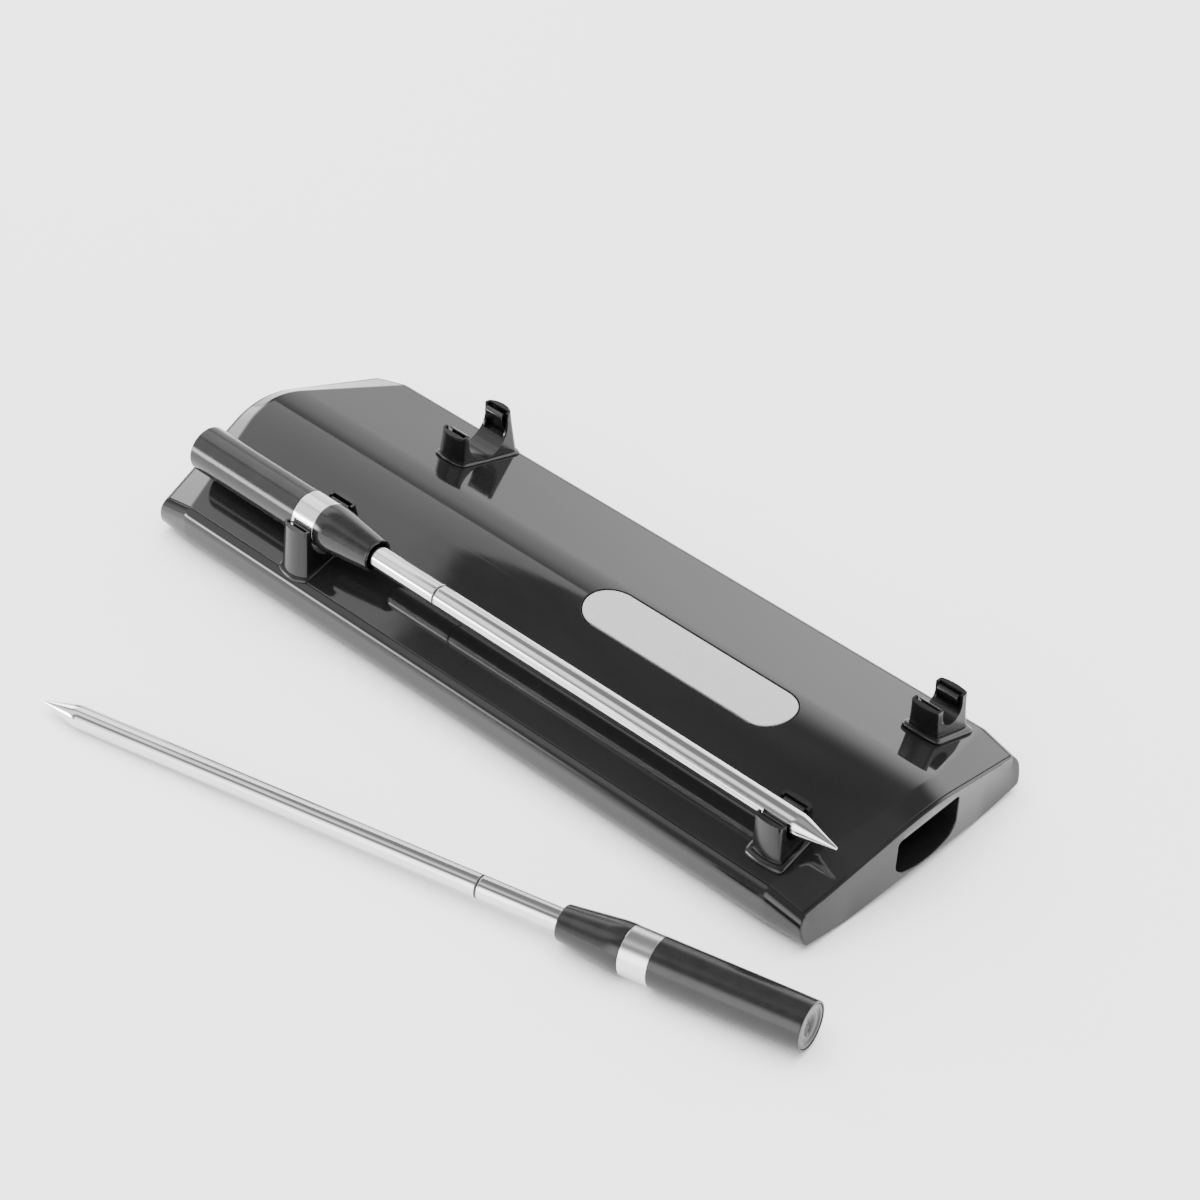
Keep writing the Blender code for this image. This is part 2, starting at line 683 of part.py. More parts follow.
def leaf_path(size, grip):
    """Middle line of a leaf, in y and z: root, crest above the probe's middle, and free end."""
    high = size.crest_height
    crest = sqrt(grip ** 2 - high ** 2) + LEAF_THICKNESS / 2
    root = (size.pocket_back - 0.45 * MM, size.shoulder + 0.4 * MM)
    below = (crest + 0.14 * MM, high - 0.4 * MM)
    above = (crest + 0.12 * MM, high + 0.25 * MM)
    free_end = (crest + 0.6 * MM, size.top - 0.35 * MM)
    return [root, below, (crest, high), above, free_end]


def leaf_mesh(size, grip):
    """Bent strip with its origin on the root, where it flexes."""
    path = leaf_path(size, grip)
    root = path[0]
    sides = []
    for i, (y, z) in enumerate(path):
        before = path[max(i - 1, 0)]
        after = path[min(i + 1, len(path) - 1)]
        run = (after[0] - before[0], after[1] - before[1])
        length = hypot(*run)
        normal = (run[1] / length * LEAF_THICKNESS / 2, -run[0] / length * LEAF_THICKNESS / 2)
        sides.append(((y - root[0] + normal[0], z - root[1] + normal[1]),
                      (y - root[0] - normal[0], z - root[1] - normal[1])))
    half = size.pocket_half - GAP
    return strip_mesh([[((x, *outer), (x, *inner)) for outer, inner in sides] for x in (-half, half)])


def make_leaf(name, size, clip_x, clip_y, side, grip):
    root_y, root_z = leaf_path(size, grip)[0]
    place = (clip_x, clip_y + side * root_y, DOCK_HEIGHT + root_z)
    turn = 0.0 if side > 0 else pi
    add_object(name, leaf_mesh(size, grip), spring_steel(), location=place, turn=turn)


def clips_and_springs():
    for name, x, y, turn in clip_places():
        size = HANDLE_CLIP if x < 0 else TIP_CLIP
        make_clip(name, size, x, y, turn)
        grip = size.held_radius if y < 0 else size.relaxed_radius
        make_leaf(name.replace("clip", "spring") + "_inner", size, x, y, 1 if y < 0 else -1, grip)
        make_leaf(name.replace("clip", "spring") + "_outer", size, x, y, -1 if y < 0 else 1, grip)


# ---------------------------------------------------------------- probes
def point_profile():
    """Pointed end of the shaft: a small round nose, a straight cone and a softened shoulder."""
    nose = 0.3 * MM
    shoulder = 0.9 * MM
    return [(0, 0), (0.08 * MM, nose * 0.7), (nose, nose * 1.15),
            (POINT_LENGTH - shoulder, SHAFT_RADIUS * 0.905), (POINT_LENGTH, SHAFT_RADIUS * 0.985),
            (POINT_LENGTH + shoulder, SHAFT_RADIUS)]


def shaft_profile():
    bore_start = 7.0 * MM
    bore = [(JOINT_AT, SHAFT_BORE), (bore_start, SHAFT_BORE), (bore_start, 0)]
    return point_profile() + [(JOINT_AT, SHAFT_RADIUS)] + bore


def joint_ring_profile():
    play = 0.05 * MM
    spigot = SHAFT_BORE - play
    reach = 3.0 * MM
    bore = 1.45 * MM
    start, end = JOINT_AT + play, JOINT_AT + JOINT_WIDTH - play
    rim = SHAFT_RADIUS - play
    return [(start - reach, spigot), (start, spigot), (start, rim), (end, rim),
            (end, spigot), (end + reach, spigot), (end + reach, bore), (start - reach, bore)]


def cone_profile():
    """Nose cone: round lip with a hollow mouth, a straight taper and a soft turn to the handle's radius."""
    mouth, bush = 3.05 * MM, 3.45 * MM
    depth = 3.0 * MM
    end = BAND_AT - 0.1 * MM
    return [(LIP_AT, mouth), (LIP_AT, LIP_RADIUS - 0.25 * MM), (LIP_AT + 0.25 * MM, LIP_RADIUS),
            (BAND_AT - 3.0 * MM, HANDLE_RADIUS - 0.22 * MM), (BAND_AT - 1.4 * MM, HANDLE_RADIUS - 0.04 * MM),
            (end, HANDLE_RADIUS), (end, bush), (LIP_AT + depth, bush), (LIP_AT + depth, mouth)]


def carrier_profile():
    inner = 3.0 * MM
    band, handle = 4.2 * MM, 3.85 * MM
    start, step, end = BAND_AT + GAP, HANDLE_AT - GAP, HANDLE_AT + 12 * MM
    return [(start, band), (step, band), (step, handle), (end, handle), (end, inner), (start, inner)]


def handle_profile():
    """Handle tube with a wider mouth at its end, where the cap sits."""
    start = HANDLE_AT + 0.1 * MM
    edge = 0.25 * MM
    seat = PROBE_LENGTH - 2.9 * MM
    mouth, bore = 4.6 * MM, 4.0 * MM
    return [(start, HANDLE_RADIUS - 0.05 * MM), (start + 0.05 * MM, HANDLE_RADIUS),
            (PROBE_LENGTH - edge, HANDLE_RADIUS), (PROBE_LENGTH, HANDLE_RADIUS - edge),
            (PROBE_LENGTH, mouth), (seat, mouth), (seat, bore), (start, bore)]


def cap_profile():
    flange, plug = 4.5 * MM, 3.9 * MM
    seat = PROBE_LENGTH - 2.8 * MM
    face = PROBE_LENGTH - 0.1 * MM
    return [(seat - 5 * MM, 0), (seat - 5 * MM, plug), (seat, plug), (seat, flange), (face, flange),
            (face, flange - 0.25 * MM), (face - 0.3 * MM, flange - 0.9 * MM), (face - 0.3 * MM, 0)]


def cap_slot_mesh():
    """Short curved slot in the face of the end cap."""
    radius, half_angle, half_width = 2.4 * MM, radians(34), 0.22 * MM
    depth = (PROBE_LENGTH - MM, PROBE_LENGTH + MM)
    rows = []
    for k in range(9):
        turn = half_angle * (k / 4 - 1)
        pairs = []
        for x in depth:
            outer = (x, (radius + half_width) * cos(turn) - radius, (radius + half_width) * sin(turn))
            inner = (x, (radius - half_width) * cos(turn) - radius, (radius - half_width) * sin(turn))
            pairs.append((outer, inner))
        rows.append(pairs)
    return strip_mesh(rows)


def probe_meshes():
    """Name, mesh and finish of every turned piece of a probe, along local +X from its tip."""
    sleeve_start = JOINT_AT + JOINT_WIDTH
    sleeve_end = BAND_AT - 2.0 * MM
    bush = tube(LIP_AT + 3.2 * MM, sleeve_end, 3.4 * MM, SHAFT_RADIUS + 0.05 * MM)
    band = tube(BAND_AT, HANDLE_AT, HANDLE_RADIUS, 4.3 * MM, 0.12 * MM)
    sleeve = tube(sleeve_start, sleeve_end, SHAFT_RADIUS, SHAFT_BORE)
    board = box_mesh((60 * MM, -1.3 * MM, -0.3 * MM), (136 * MM, 1.3 * MM, 0.3 * MM))
    return [("shaft", turned_mesh(shaft_profile()), polished_steel()),
            ("joint_ring", turned_mesh(joint_ring_profile(), FINE_ROUND), insulator()),
            ("sleeve", turned_mesh(sleeve), polished_steel()),
            ("nose_bush", turned_mesh(bush, FINE_ROUND), insulator()),
            ("nose_cone", turned_mesh(cone_profile()), handle_black()),
            ("contact_band", turned_mesh(band), polished_steel()),
            ("band_carrier", turned_mesh(carrier_profile(), FINE_ROUND), insulator()),
            ("handle", turned_mesh(handle_profile()), handle_black()),
            ("tip_sensor", turned_mesh(rod(9 * MM, 15 * MM, 1.3 * MM), SMALL_ROUND), copper()),
            ("cell", turned_mesh(rod(34 * MM, 58 * MM, 1.6 * MM), SMALL_ROUND), cell_wrap()),
            ("antenna", turned_mesh(tube(160 * MM, 168 * MM, 3.0 * MM, 2.2 * MM), SMALL_ROUND), copper()),
            ("air_sensor", turned_mesh(rod(150 * MM, 156 * MM, 1.2 * MM), SMALL_ROUND), copper()),
            ("sensor_board", board, circuit_board())]


def make_probe(prefix, place, pieces, cap):
    """One probe hung on an empty at its tip, whose local +X runs to the handle."""
    frame = bpy.data.objects.new(prefix + "_probe_frame", None)
    bpy.context.collection.objects.link(frame)
    frame.matrix_world = place
    for name, mesh, finish in pieces:
        add_object(f"{prefix}_{name}", mesh, finish, frame)
    end_cap = add_object(prefix + "_end_cap", cap, handle_black(), frame)
    cut(end_cap, cap_slot_mesh())


def probes():
    pieces = probe_meshes()
    cap = turned_mesh(cap_profile())
    docked = Matrix.Translation(DOCKED_TIP) @ Matrix.Rotation(pi, 4, "Z")
    loose = (Matrix.Translation(LOOSE_TIP) @ Matrix.Rotation(LOOSE_YAW, 4, "Z")
             @ Matrix.Rotation(-LOOSE_TILT, 4, "Y"))
    make_probe("docked", docked, pieces, cap)
    make_probe("loose", loose, pieces, cap)


def build():
    clear_scene()
    lower_housing()
    top_cover()
    base_trim()
    base_electronics()
    clips_and_springs()
    probes()


build()
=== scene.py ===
"""Looks of the wireless meat thermometer set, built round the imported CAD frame.

Lengths are in metres. +X runs along the base towards the charge socket, +Y to the back, +Z up.
"""

from math import asin, cos, pi, radians, sin, sqrt, tan

import bmesh
import bpy
import numpy as np
from mathutils import Matrix, Vector, geometry

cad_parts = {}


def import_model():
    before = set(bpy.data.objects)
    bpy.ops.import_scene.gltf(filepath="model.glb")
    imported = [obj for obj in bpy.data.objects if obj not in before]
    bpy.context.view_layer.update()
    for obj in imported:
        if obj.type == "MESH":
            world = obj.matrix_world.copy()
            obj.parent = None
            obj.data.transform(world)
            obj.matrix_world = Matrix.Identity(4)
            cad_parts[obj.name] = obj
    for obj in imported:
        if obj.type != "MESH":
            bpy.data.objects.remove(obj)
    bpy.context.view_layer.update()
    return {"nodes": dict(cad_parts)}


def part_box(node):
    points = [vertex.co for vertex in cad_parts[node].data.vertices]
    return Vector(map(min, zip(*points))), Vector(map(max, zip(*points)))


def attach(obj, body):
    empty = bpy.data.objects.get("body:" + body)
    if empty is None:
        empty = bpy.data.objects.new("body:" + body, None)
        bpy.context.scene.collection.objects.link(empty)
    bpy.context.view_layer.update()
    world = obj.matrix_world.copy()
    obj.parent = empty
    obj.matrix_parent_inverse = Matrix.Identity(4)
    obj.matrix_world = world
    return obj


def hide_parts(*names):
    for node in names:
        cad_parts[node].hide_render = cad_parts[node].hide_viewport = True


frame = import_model()

MM = 0.001

# Base, as in the CAD
RIDGE_HEIGHT = 19.2 * MM
RIDGE_RADIUS = 27.6 * MM
ROOF_ANGLE = radians(17.2)
HALF_WIDTH = 33.2 * MM
SHOULDER_RADIUS = 3.1 * MM
SKIRT_TOP = 5.6 * MM
SKIRT_REACH = 1.5 * MM
UNDERSIDE = 0.4 * MM
CHINE_RISE = 1.5 * MM
FLAT_HALF = 20.0 * MM
CREASE_X = 91.2 * MM
CREASE_RAKE = 0.94
END_X = 95.5 * MM
END_RAKE = 0.43
END_DROP = 2.1 * MM
END_NARROWING = 0.982
LOW_END_X = 93.1 * MM
LOW_END_BOW = 1.3 * MM
LOW_END_RISE = 2.0 * MM
LOW_END_BOW_HALF = 20.0 * MM
GAP = 0.3 * MM
SEAM = 0.16 * MM
COVER_THICKNESS = 2.0 * MM
COVER_LIP = 0.8 * MM
COVER_HALF_WIDTH = 31.15 * MM
COVER_END_INSET = 0.8 * MM
CREASE_RADIUS = 0.6 * MM
CORNER_RADIUS = 0.15 * MM
RIM_EDGE_RADIUS = 0.22 * MM
SIDE_EDGE_RADIUS = 1.1 * MM
BOTTOM_EDGE_RADIUS = 0.35 * MM
FACE_SPACING = 1.3 * MM
BACK_SPACING = 3 * MM
CUTTER_LOW = -3 * MM
PAD_CORNER = 3.3 * MM
SCREW_HEAD = 1.9 * MM

# Badge plate
PLATE_CENTRE_X = 33.0 * MM
PLATE_LENGTH = 54.6 * MM
PLATE_WIDTH = 11.8 * MM
PLATE_THICKNESS = 0.9 * MM

# Recess in the right end, and the socket in it
RECESS_CENTRE_Y = 1.5 * MM
RECESS_HALF_WIDTH = 9.1 * MM
RECESS_TOP = 13.7 * MM
RECESS_SIDE_LOW = 6.1 * MM
RECESS_CHAMFER = 2.0 * MM
RECESS_SAG = 1.15 * MM
RECESS_CORNER = 1.3 * MM
RECESS_BACK_X = 79.0 * MM
MOUTH_RADIUS = 0.5 * MM

# Docks and probes
DOCK_Y = 22.8 * MM
DOCK_HEIGHT = 20.5 * MM
HANDLE_CLIP_X = -50.7 * MM
TIP_CLIP_X = 78.7 * MM
PROBE_LENGTH = 178.4 * MM
SHAFT_RADIUS = 2.5 * MM
HANDLE_RADIUS = 5.1 * MM
LIP_RADIUS = 3.65 * MM
SHAFT_BORE = 1.9 * MM
POINT_LENGTH = 8.9 * MM
JOINT_AT = 106.3 * MM
JOINT_WIDTH = 0.5 * MM
LIP_AT = 125.2 * MM
BAND_AT = 139.8 * MM
HANDLE_AT = 146.1 * MM
DOCKED_TIP = Vector((92.0 * MM, -DOCK_Y, DOCK_HEIGHT))
LOOSE_YAW = radians(12.34)
LOOSE_REST_AT = POINT_LENGTH + 0.9 * MM
LOOSE_TILT = asin((HANDLE_RADIUS - SHAFT_RADIUS) / (BAND_AT - LOOSE_REST_AT))
LOOSE_TIP = Vector((-64.4 * MM, -87.4 * MM, SHAFT_RADIUS + 0.02 * MM - LOOSE_REST_AT * sin(LOOSE_TILT)))


# ---------------------------------------------------------------- mesh helpers
def step_towards(here, other, radius):
    run = other - here
    length = np.maximum(np.linalg.norm(run, axis=-1, keepdims=True), 1e-12)
    reach = np.minimum(np.reshape(radius, (-1, 1)), 0.49 * length)
    return here + run / length * reach


def rounded(points, radii, steps=5, closed=False):
    """Round the corners of a path. Each point may be one place or a whole row of places."""
    points = [np.atleast_2d(np.asarray(p, float)) for p in points]
    path = []
    for k, here in enumerate(points):
        at_tip = not closed and k in (0, len(points) - 1)
        if at_tip or np.max(radii[k]) == 0:
            path.append(here)
            continue
        a = step_towards(here, points[k - 1], radii[k])
        b = step_towards(here, points[(k + 1) % len(points)], radii[k])
        for t in np.linspace(0, 1, steps + 1):
            path.append((1 - t) ** 2 * a + 2 * t * (1 - t) * here + t * t * b)
    return path


def rounded_outline(points, radii, steps=5):
    """Closed flat outline with rounded corners, as a list of coordinate pairs or triples."""
    return [tuple(p[0]) for p in rounded(points, radii, steps, closed=True)]


def new_object(name, bm, finish):
    bmesh.ops.remove_doubles(bm, verts=bm.verts, dist=0.002 * MM)
    bmesh.ops.dissolve_degenerate(bm, edges=bm.edges, dist=0.0005 * MM)
    bmesh.ops.recalc_face_normals(bm, faces=bm.faces)
    mesh = bpy.data.meshes.new(name)
    bm.to_mesh(mesh)
    bm.free()
    mesh.shade_smooth()
    mesh.materials.append(finish)
    item = bpy.data.objects.new(name, mesh)
    bpy.context.scene.collection.objects.link(item)
    return item


def add_rows(bm, rows, around=True, along=False):
    """Quads between neighbouring rows of places. Rows may close on themselves and on each other."""
    made = [[bm.verts.new(p) for p in row] for row in rows]
    pairs = list(zip(made, made[1:]))
    if along:
        pairs.append((made[-1], made[0]))
    for low, high in pairs:
        count = len(low)
        for i in range(count if around else count - 1):
            j = (i + 1) % count
            bm.faces.new((low[i], low[j], high[j], high[i]))
    return made


def lofted(name, rows, finish, caps=True):
    bm = bmesh.new()
    made = add_rows(bm, rows)
    if caps:
        bm.faces.new(made[0])
        bm.faces.new(made[-1])
    return new_object(name, bm, finish)


def turned(name, outline, radii, finish, steps=96, closed=False, corner_steps=4):
    """Turn a path of (distance along X, radius) points with rounded corners round the X axis."""
    flat = [p[0] for p in rounded([(x, r, 0) for x, r in outline], radii, corner_steps, closed)]
    angles = np.linspace(0, 2 * pi, steps, endpoint=False)
    rows = []
    for x, r, _ in flat:
        rows.append([(x, r * cos(a), r * sin(a)) for a in angles])
    bm = bmesh.new()
    add_rows(bm, rows, along=closed)
    return new_object(name, bm, finish)


def box_object(name, low, high, finish, edge=0.0, segments=2):
    bm = bmesh.new()
    size = Vector(high) - Vector(low)
    centre = (Vector(high) + Vector(low)) / 2
    place = Matrix.Translation(centre) @ Matrix.Diagonal((*size, 1.0))
    bmesh.ops.create_cube(bm, size=1.0, matrix=place)
    if edge:
        bmesh.ops.bevel(bm, geom=list(bm.edges), offset=edge, segments=segments,
                        affect="EDGES", profile=0.5)
    return new_object(name, bm, finish)


def face_weighted(item):
    change = item.modifiers.new("normals", "WEIGHTED_NORMAL")
    change.keep_sharp = True
    return item


def apply_modifiers(item):
    graph = bpy.context.evaluated_depsgraph_get()
    mesh = bpy.data.meshes.new_from_object(item.evaluated_get(graph))
    item.modifiers.clear()
    item.data = mesh


def cut(item, tools):
    """Cut tool solids out of an item and remove the tools."""
    for tool in tools:
        change = item.modifiers.new("cut", "BOOLEAN")
        change.operation = "DIFFERENCE"
        change.solver = "EXACT"
        change.object = tool
    apply_modifiers(item)
    for tool in tools:
        bpy.data.objects.remove(tool, do_unlink=True)


def soften_edges(item, width, segments=3, angle=32):
    change = item.modifiers.new("edges", "BEVEL")
    change.width = width
    change.segments = segments
    change.limit_method = "ANGLE"
    change.angle_limit = radians(angle)
    change.miter_outer = "MITER_ARC"
    change.use_clamp_overlap = True
    apply_modifiers(item)


def settle(item, body, nodes=()):
    """Hang a piece on its body and hide the CAD nodes that it stands for."""
    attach(item, body)
    if nodes:
        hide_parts(*nodes)
    return item


# ---------------------------------------------------------------- materials
class Graph:
    """Small helper to wire a procedural material."""

    def __init__(self, name):
        self.material = bpy.data.materials.new(name)
        self.material.use_nodes = True
        self.tree = self.material.node_tree
        self.shader = self.tree.nodes["Principled BSDF"]
        self.coordinates = self.add("ShaderNodeTexCoord").outputs["Object"]

    def add(self, kind, **settings):
        node = self.tree.nodes.new(kind)
        for key, value in settings.items():
            setattr(node, key, value)
        return node

    def link(self, output, target):
        self.tree.links.new(output, target)

    def scaled(self, stretch):
        """Object coordinates stretched by three factors, in cycles per metre."""
        mapping = self.add("ShaderNodeMapping")
        mapping.inputs["Scale"].default_value = stretch
        self.link(self.coordinates, mapping.inputs["Vector"])
        return mapping.outputs["Vector"]

    def noise(self, stretch, detail=3.0, distortion=0.0):
        node = self.add("ShaderNodeTexNoise")
        node.inputs["Scale"].default_value = 1.0
        node.inputs["Detail"].default_value = detail
        node.inputs["Distortion"].default_value = distortion
        self.link(self.scaled(stretch), node.inputs["Vector"])
        return node.outputs["Fac"]

    def between(self, factor, low, high, start=0.3, end=0.7):
        node = self.add("ShaderNodeMapRange")
        node.inputs["From Min"].default_value = start
        node.inputs["From Max"].default_value = end
        node.inputs["To Min"].default_value = low
        node.inputs["To Max"].default_value = high
        self.link(factor, node.inputs["Value"])
        return node.outputs["Result"]

    def colours(self, factor, low, high, start=0.3, end=0.7):
        ramp = self.add("ShaderNodeValToRGB")
        ramp.color_ramp.elements[0].position = start
        ramp.color_ramp.elements[1].position = end
        ramp.color_ramp.elements[0].color = (*low, 1.0)
        ramp.color_ramp.elements[1].color = (*high, 1.0)
        self.link(factor, ramp.inputs["Fac"])
        return ramp.outputs["Color"]

    def largest(self, a, b):
        node = self.add("ShaderNodeMath", operation="MAXIMUM")
        self.link(a, node.inputs[0])
        self.link(b, node.inputs[1])
        return node.outputs[0]

    def bump(self, height, distance, strength=1.0):
        node = self.add("ShaderNodeBump")
        node.inputs["Distance"].default_value = distance
        node.inputs["Strength"].default_value = strength
        self.link(height, node.inputs["Height"])
        self.link(node.outputs["Normal"], self.shader.inputs["Normal"])

    def set(self, **values):
        for key, value in values.items():
            self.shader.inputs[key.replace("_", " ")].default_value = value


def even(scale):
    return (scale, scale, scale)


def gloss_black():
    """Mirror-gloss black moulding: faint flow tint, slight moulding waviness and sparse fine dust."""
    g = Graph("gloss_black_plastic")
    flow = g.noise((18, 60, 60), 4.0, 0.6)
    g.link(g.colours(flow, (0.006, 0.006, 0.0062), (0.009, 0.009, 0.0092)), g.shader.inputs["Base Color"])
    haze = g.between(g.noise(even(140), 5.0), 0.05, 0.09)
    specks = g.between(g.noise(even(5200), 1.0), 0.0, 0.3, 0.7, 0.78)
    g.link(g.largest(haze, specks), g.shader.inputs["Roughness"])
    g.bump(g.noise(even(70), 1.5), 0.008 * MM)
    g.set(IOR=1.43)
    return g.material


def clip_black():
    g = Graph("clip_black_plastic")
    g.link(g.colours(g.noise(even(160), 4.0), (0.004, 0.004, 0.004), (0.007, 0.007, 0.007)),
           g.shader.inputs["Base Color"])
    g.link(g.between(g.noise(even(420), 5.0), 0.15, 0.21), g.shader.inputs["Roughness"])
    g.bump(g.noise(even(900), 3.0), 0.002 * MM)
    g.set(IOR=1.43)
    return g.material


def handle_black():
    """Dense satin-gloss ceramic with a very fine grain."""
    g = Graph("handle_black_ceramic")
    g.link(g.colours(g.noise(even(300), 5.0), (0.008, 0.008, 0.0082), (0.012, 0.012, 0.0122)),
           g.shader.inputs["Base Color"])
    g.link(g.between(g.noise(even(1800), 4.0), 0.14, 0.2), g.shader.inputs["Roughness"])
    g.bump(g.noise(even(9000), 2.0), 0.0008 * MM)
    g.set(IOR=1.45)
    return g.material


def polished_steel():
    """Polished stainless steel with faint lathe rings round the axis and light lengthways wear."""
    g = Graph("polished_steel")
    rings = g.noise((5200, 40, 40), 3.0)
    wear = g.noise((60, 900, 900), 4.0)
    g.link(g.colours(wear, (0.66, 0.66, 0.655), (0.76, 0.76, 0.755)), g.shader.inputs["Base Color"])
    g.link(g.largest(g.between(rings, 0.07, 0.13), g.between(wear, 0.05, 0.14, 0.45, 0.8)),
           g.shader.inputs["Roughness"])
    g.bump(rings, 0.0006 * MM)
    g.set(Metallic=1.0)
    return g.material


def band_steel():
    """Finely turned contact band."""
    g = Graph("turned_band_steel")
    rings = g.noise((9000, 15, 15), 2.0)
    g.link(g.colours(rings, (0.66, 0.66, 0.66), (0.78, 0.78, 0.775)), g.shader.inputs["Base Color"])
    g.link(g.between(rings, 0.14, 0.26), g.shader.inputs["Roughness"])
    g.bump(rings, 0.0012 * MM)
    g.set(Metallic=1.0)
    return g.material


def satin_plate():
    """Light grey satin plate with a fine even grain."""
    g = Graph("satin_plate")
    grain = g.noise((700, 5200, 5200), 3.0)
    g.link(g.colours(grain, (0.34, 0.34, 0.34), (0.4, 0.4, 0.4)), g.shader.inputs["Base Color"])
    g.link(g.between(grain, 0.42, 0.56), g.shader.inputs["Roughness"])
    g.bump(grain, 0.002 * MM)
    g.set(Metallic=0.25)
    return g.material


def spring_steel():
    g = Graph("dark_spring_steel")
    rolled = g.noise((120, 2600, 2600), 4.0)
    g.link(g.colours(rolled, (0.04, 0.04, 0.04), (0.065, 0.065, 0.065)), g.shader.inputs["Base Color"])
    g.link(g.between(rolled, 0.16, 0.28), g.shader.inputs["Roughness"])
    g.bump(rolled, 0.001 * MM)
    g.set(Metallic=0.9)
    return g.material


def dark_insert(name="dark_insert", tone=0.012):
    g = Graph(name)
    grain = g.noise(even(1500), 4.0)
    g.link(g.colours(grain, even(tone), even(1.6 * tone)), g.shader.inputs["Base Color"])
    g.link(g.between(grain, 0.4, 0.6), g.shader.inputs["Roughness"])
    g.bump(grain, 0.003 * MM)
    return g.material


def rubber():
    g = Graph("soft_rubber")
    grain = g.noise(even(2400), 5.0)
    g.link(g.colours(grain, (0.02, 0.02, 0.02), (0.045, 0.045, 0.044)), g.shader.inputs["Base Color"])
    g.link(g.between(grain, 0.7, 0.95), g.shader.inputs["Roughness"])
    g.bump(grain, 0.02 * MM)
    return g.material


def zinc_steel():
    g = Graph("zinc_steel")
    blotch = g.noise(even(800), 5.0)
    g.link(g.colours(blotch, (0.45, 0.46, 0.48), (0.62, 0.63, 0.64)), g.shader.inputs["Base Color"])
    g.link(g.between(blotch, 0.22, 0.42), g.shader.inputs["Roughness"])
    g.bump(blotch, 0.002 * MM)
    g.set(Metallic=1.0)
    return g.material


def circuit_board():
    """Green solder mask over faint copper runs."""
    g = Graph("circuit_board")
    runs = g.noise((350, 900, 20), 0.0)
    mask = g.colours(runs, (0.008, 0.09, 0.03), (0.02, 0.2, 0.07), 0.48, 0.52)
    g.link(mask, g.shader.inputs["Base Color"])
    g.link(g.between(g.noise(even(700)), 0.3, 0.5), g.shader.inputs["Roughness"])
    g.bump(g.between(runs, 0, 1, 0.48, 0.52), 0.03 * MM)
    return g.material


def cell_wrap():
    g = Graph("cell_wrap")
    crinkle = g.noise((90, 260, 90), 5.0, 1.2)
    g.link(g.colours(crinkle, (0.06, 0.14, 0.3), (0.09, 0.2, 0.4)), g.shader.inputs["Base Color"])
    g.link(g.between(crinkle, 0.25, 0.4), g.shader.inputs["Roughness"])
    g.bump(crinkle, 0.06 * MM)
    return g.material


def copper():
    g = Graph("copper")
    tarnish = g.noise(even(900), 5.0)
    g.link(g.colours(tarnish, (0.5, 0.2, 0.1), (0.75, 0.38, 0.22)), g.shader.inputs["Base Color"])
    g.link(g.between(tarnish, 0.25, 0.45), g.shader.inputs["Roughness"])
    g.set(Metallic=1.0)
    return g.material


def floor_white():
    g = Graph("studio_floor")
    paint = g.colours(g.noise(even(4), 2.0), (0.9, 0.9, 0.9), (0.92, 0.92, 0.92))
    g.link(paint, g.shader.inputs["Base Color"])
    g.link(g.between(g.noise(even(9), 2.0), 0.8, 0.9), g.shader.inputs["Roughness"])
    g.set(Specular_IOR_Level=0.1)
    return g.material


FINISH = {
    "gloss": gloss_black(), "clip": clip_black(), "handle": handle_black(), "steel": polished_steel(),
    "band": band_steel(), "plate": satin_plate(), "spring": spring_steel(), "insert": dark_insert(),
    "rubber": rubber(), "zinc": zinc_steel(), "board": circuit_board(), "cell": cell_wrap(),
    "copper": copper(),
}


# ---------------------------------------------------------------- base shape
RIDGE_TANGENT = RIDGE_RADIUS * sin(ROOF_ANGLE)
SHOULDER_START = HALF_WIDTH - SHOULDER_RADIUS * (1 - sin(ROOF_ANGLE))
CHINE_HALF = HALF_WIDTH - SKIRT_REACH


def roof_drop(y):
    y = abs(y)
    if y < RIDGE_TANGENT:
        return RIDGE_RADIUS - sqrt(RIDGE_RADIUS ** 2 - y * y)
    return RIDGE_RADIUS * (1 - cos(ROOF_ANGLE)) + (y - RIDGE_TANGENT) * tan(ROOF_ANGLE)


def roof_height(y):
    return RIDGE_HEIGHT - roof_drop(y)


def roof_samples(half_width, ridge_steps=22, slope_steps=9):
    ridge = list(np.linspace(0, RIDGE_TANGENT, ridge_steps))
    slope = list(np.linspace(RIDGE_TANGENT, half_width, slope_steps))[1:]
    half = ridge + slope
    return [-y for y in reversed(half[1:])] + half


def crease_x(y):
    return CREASE_X - CREASE_RAKE * roof_drop(y)


def end_x(y):
    return END_X - END_RAKE * roof_drop(y)


def low_bow(y):
    return max(0.0, 1 - (y / LOW_END_BOW_HALF) ** 2)


def underside_height(y):
    """The bottom is flat in the middle and rises gently to the foot of the long sides."""
    return UNDERSIDE + CHINE_RISE * max(0.0, abs(y) - FLAT_HALF) / (CHINE_HALF - FLAT_HALF)


def on_bevel(y, inset):
    """Point on the roof's end bevel, a distance short of its end."""
    back = inset / (end_x(y) - crease_x(y))
    x = end_x(y) - inset
    narrow = END_NARROWING + (1 - END_NARROWING) * back
    return np.array((x, y * narrow, roof_height(y) - END_DROP * (1 - back)))


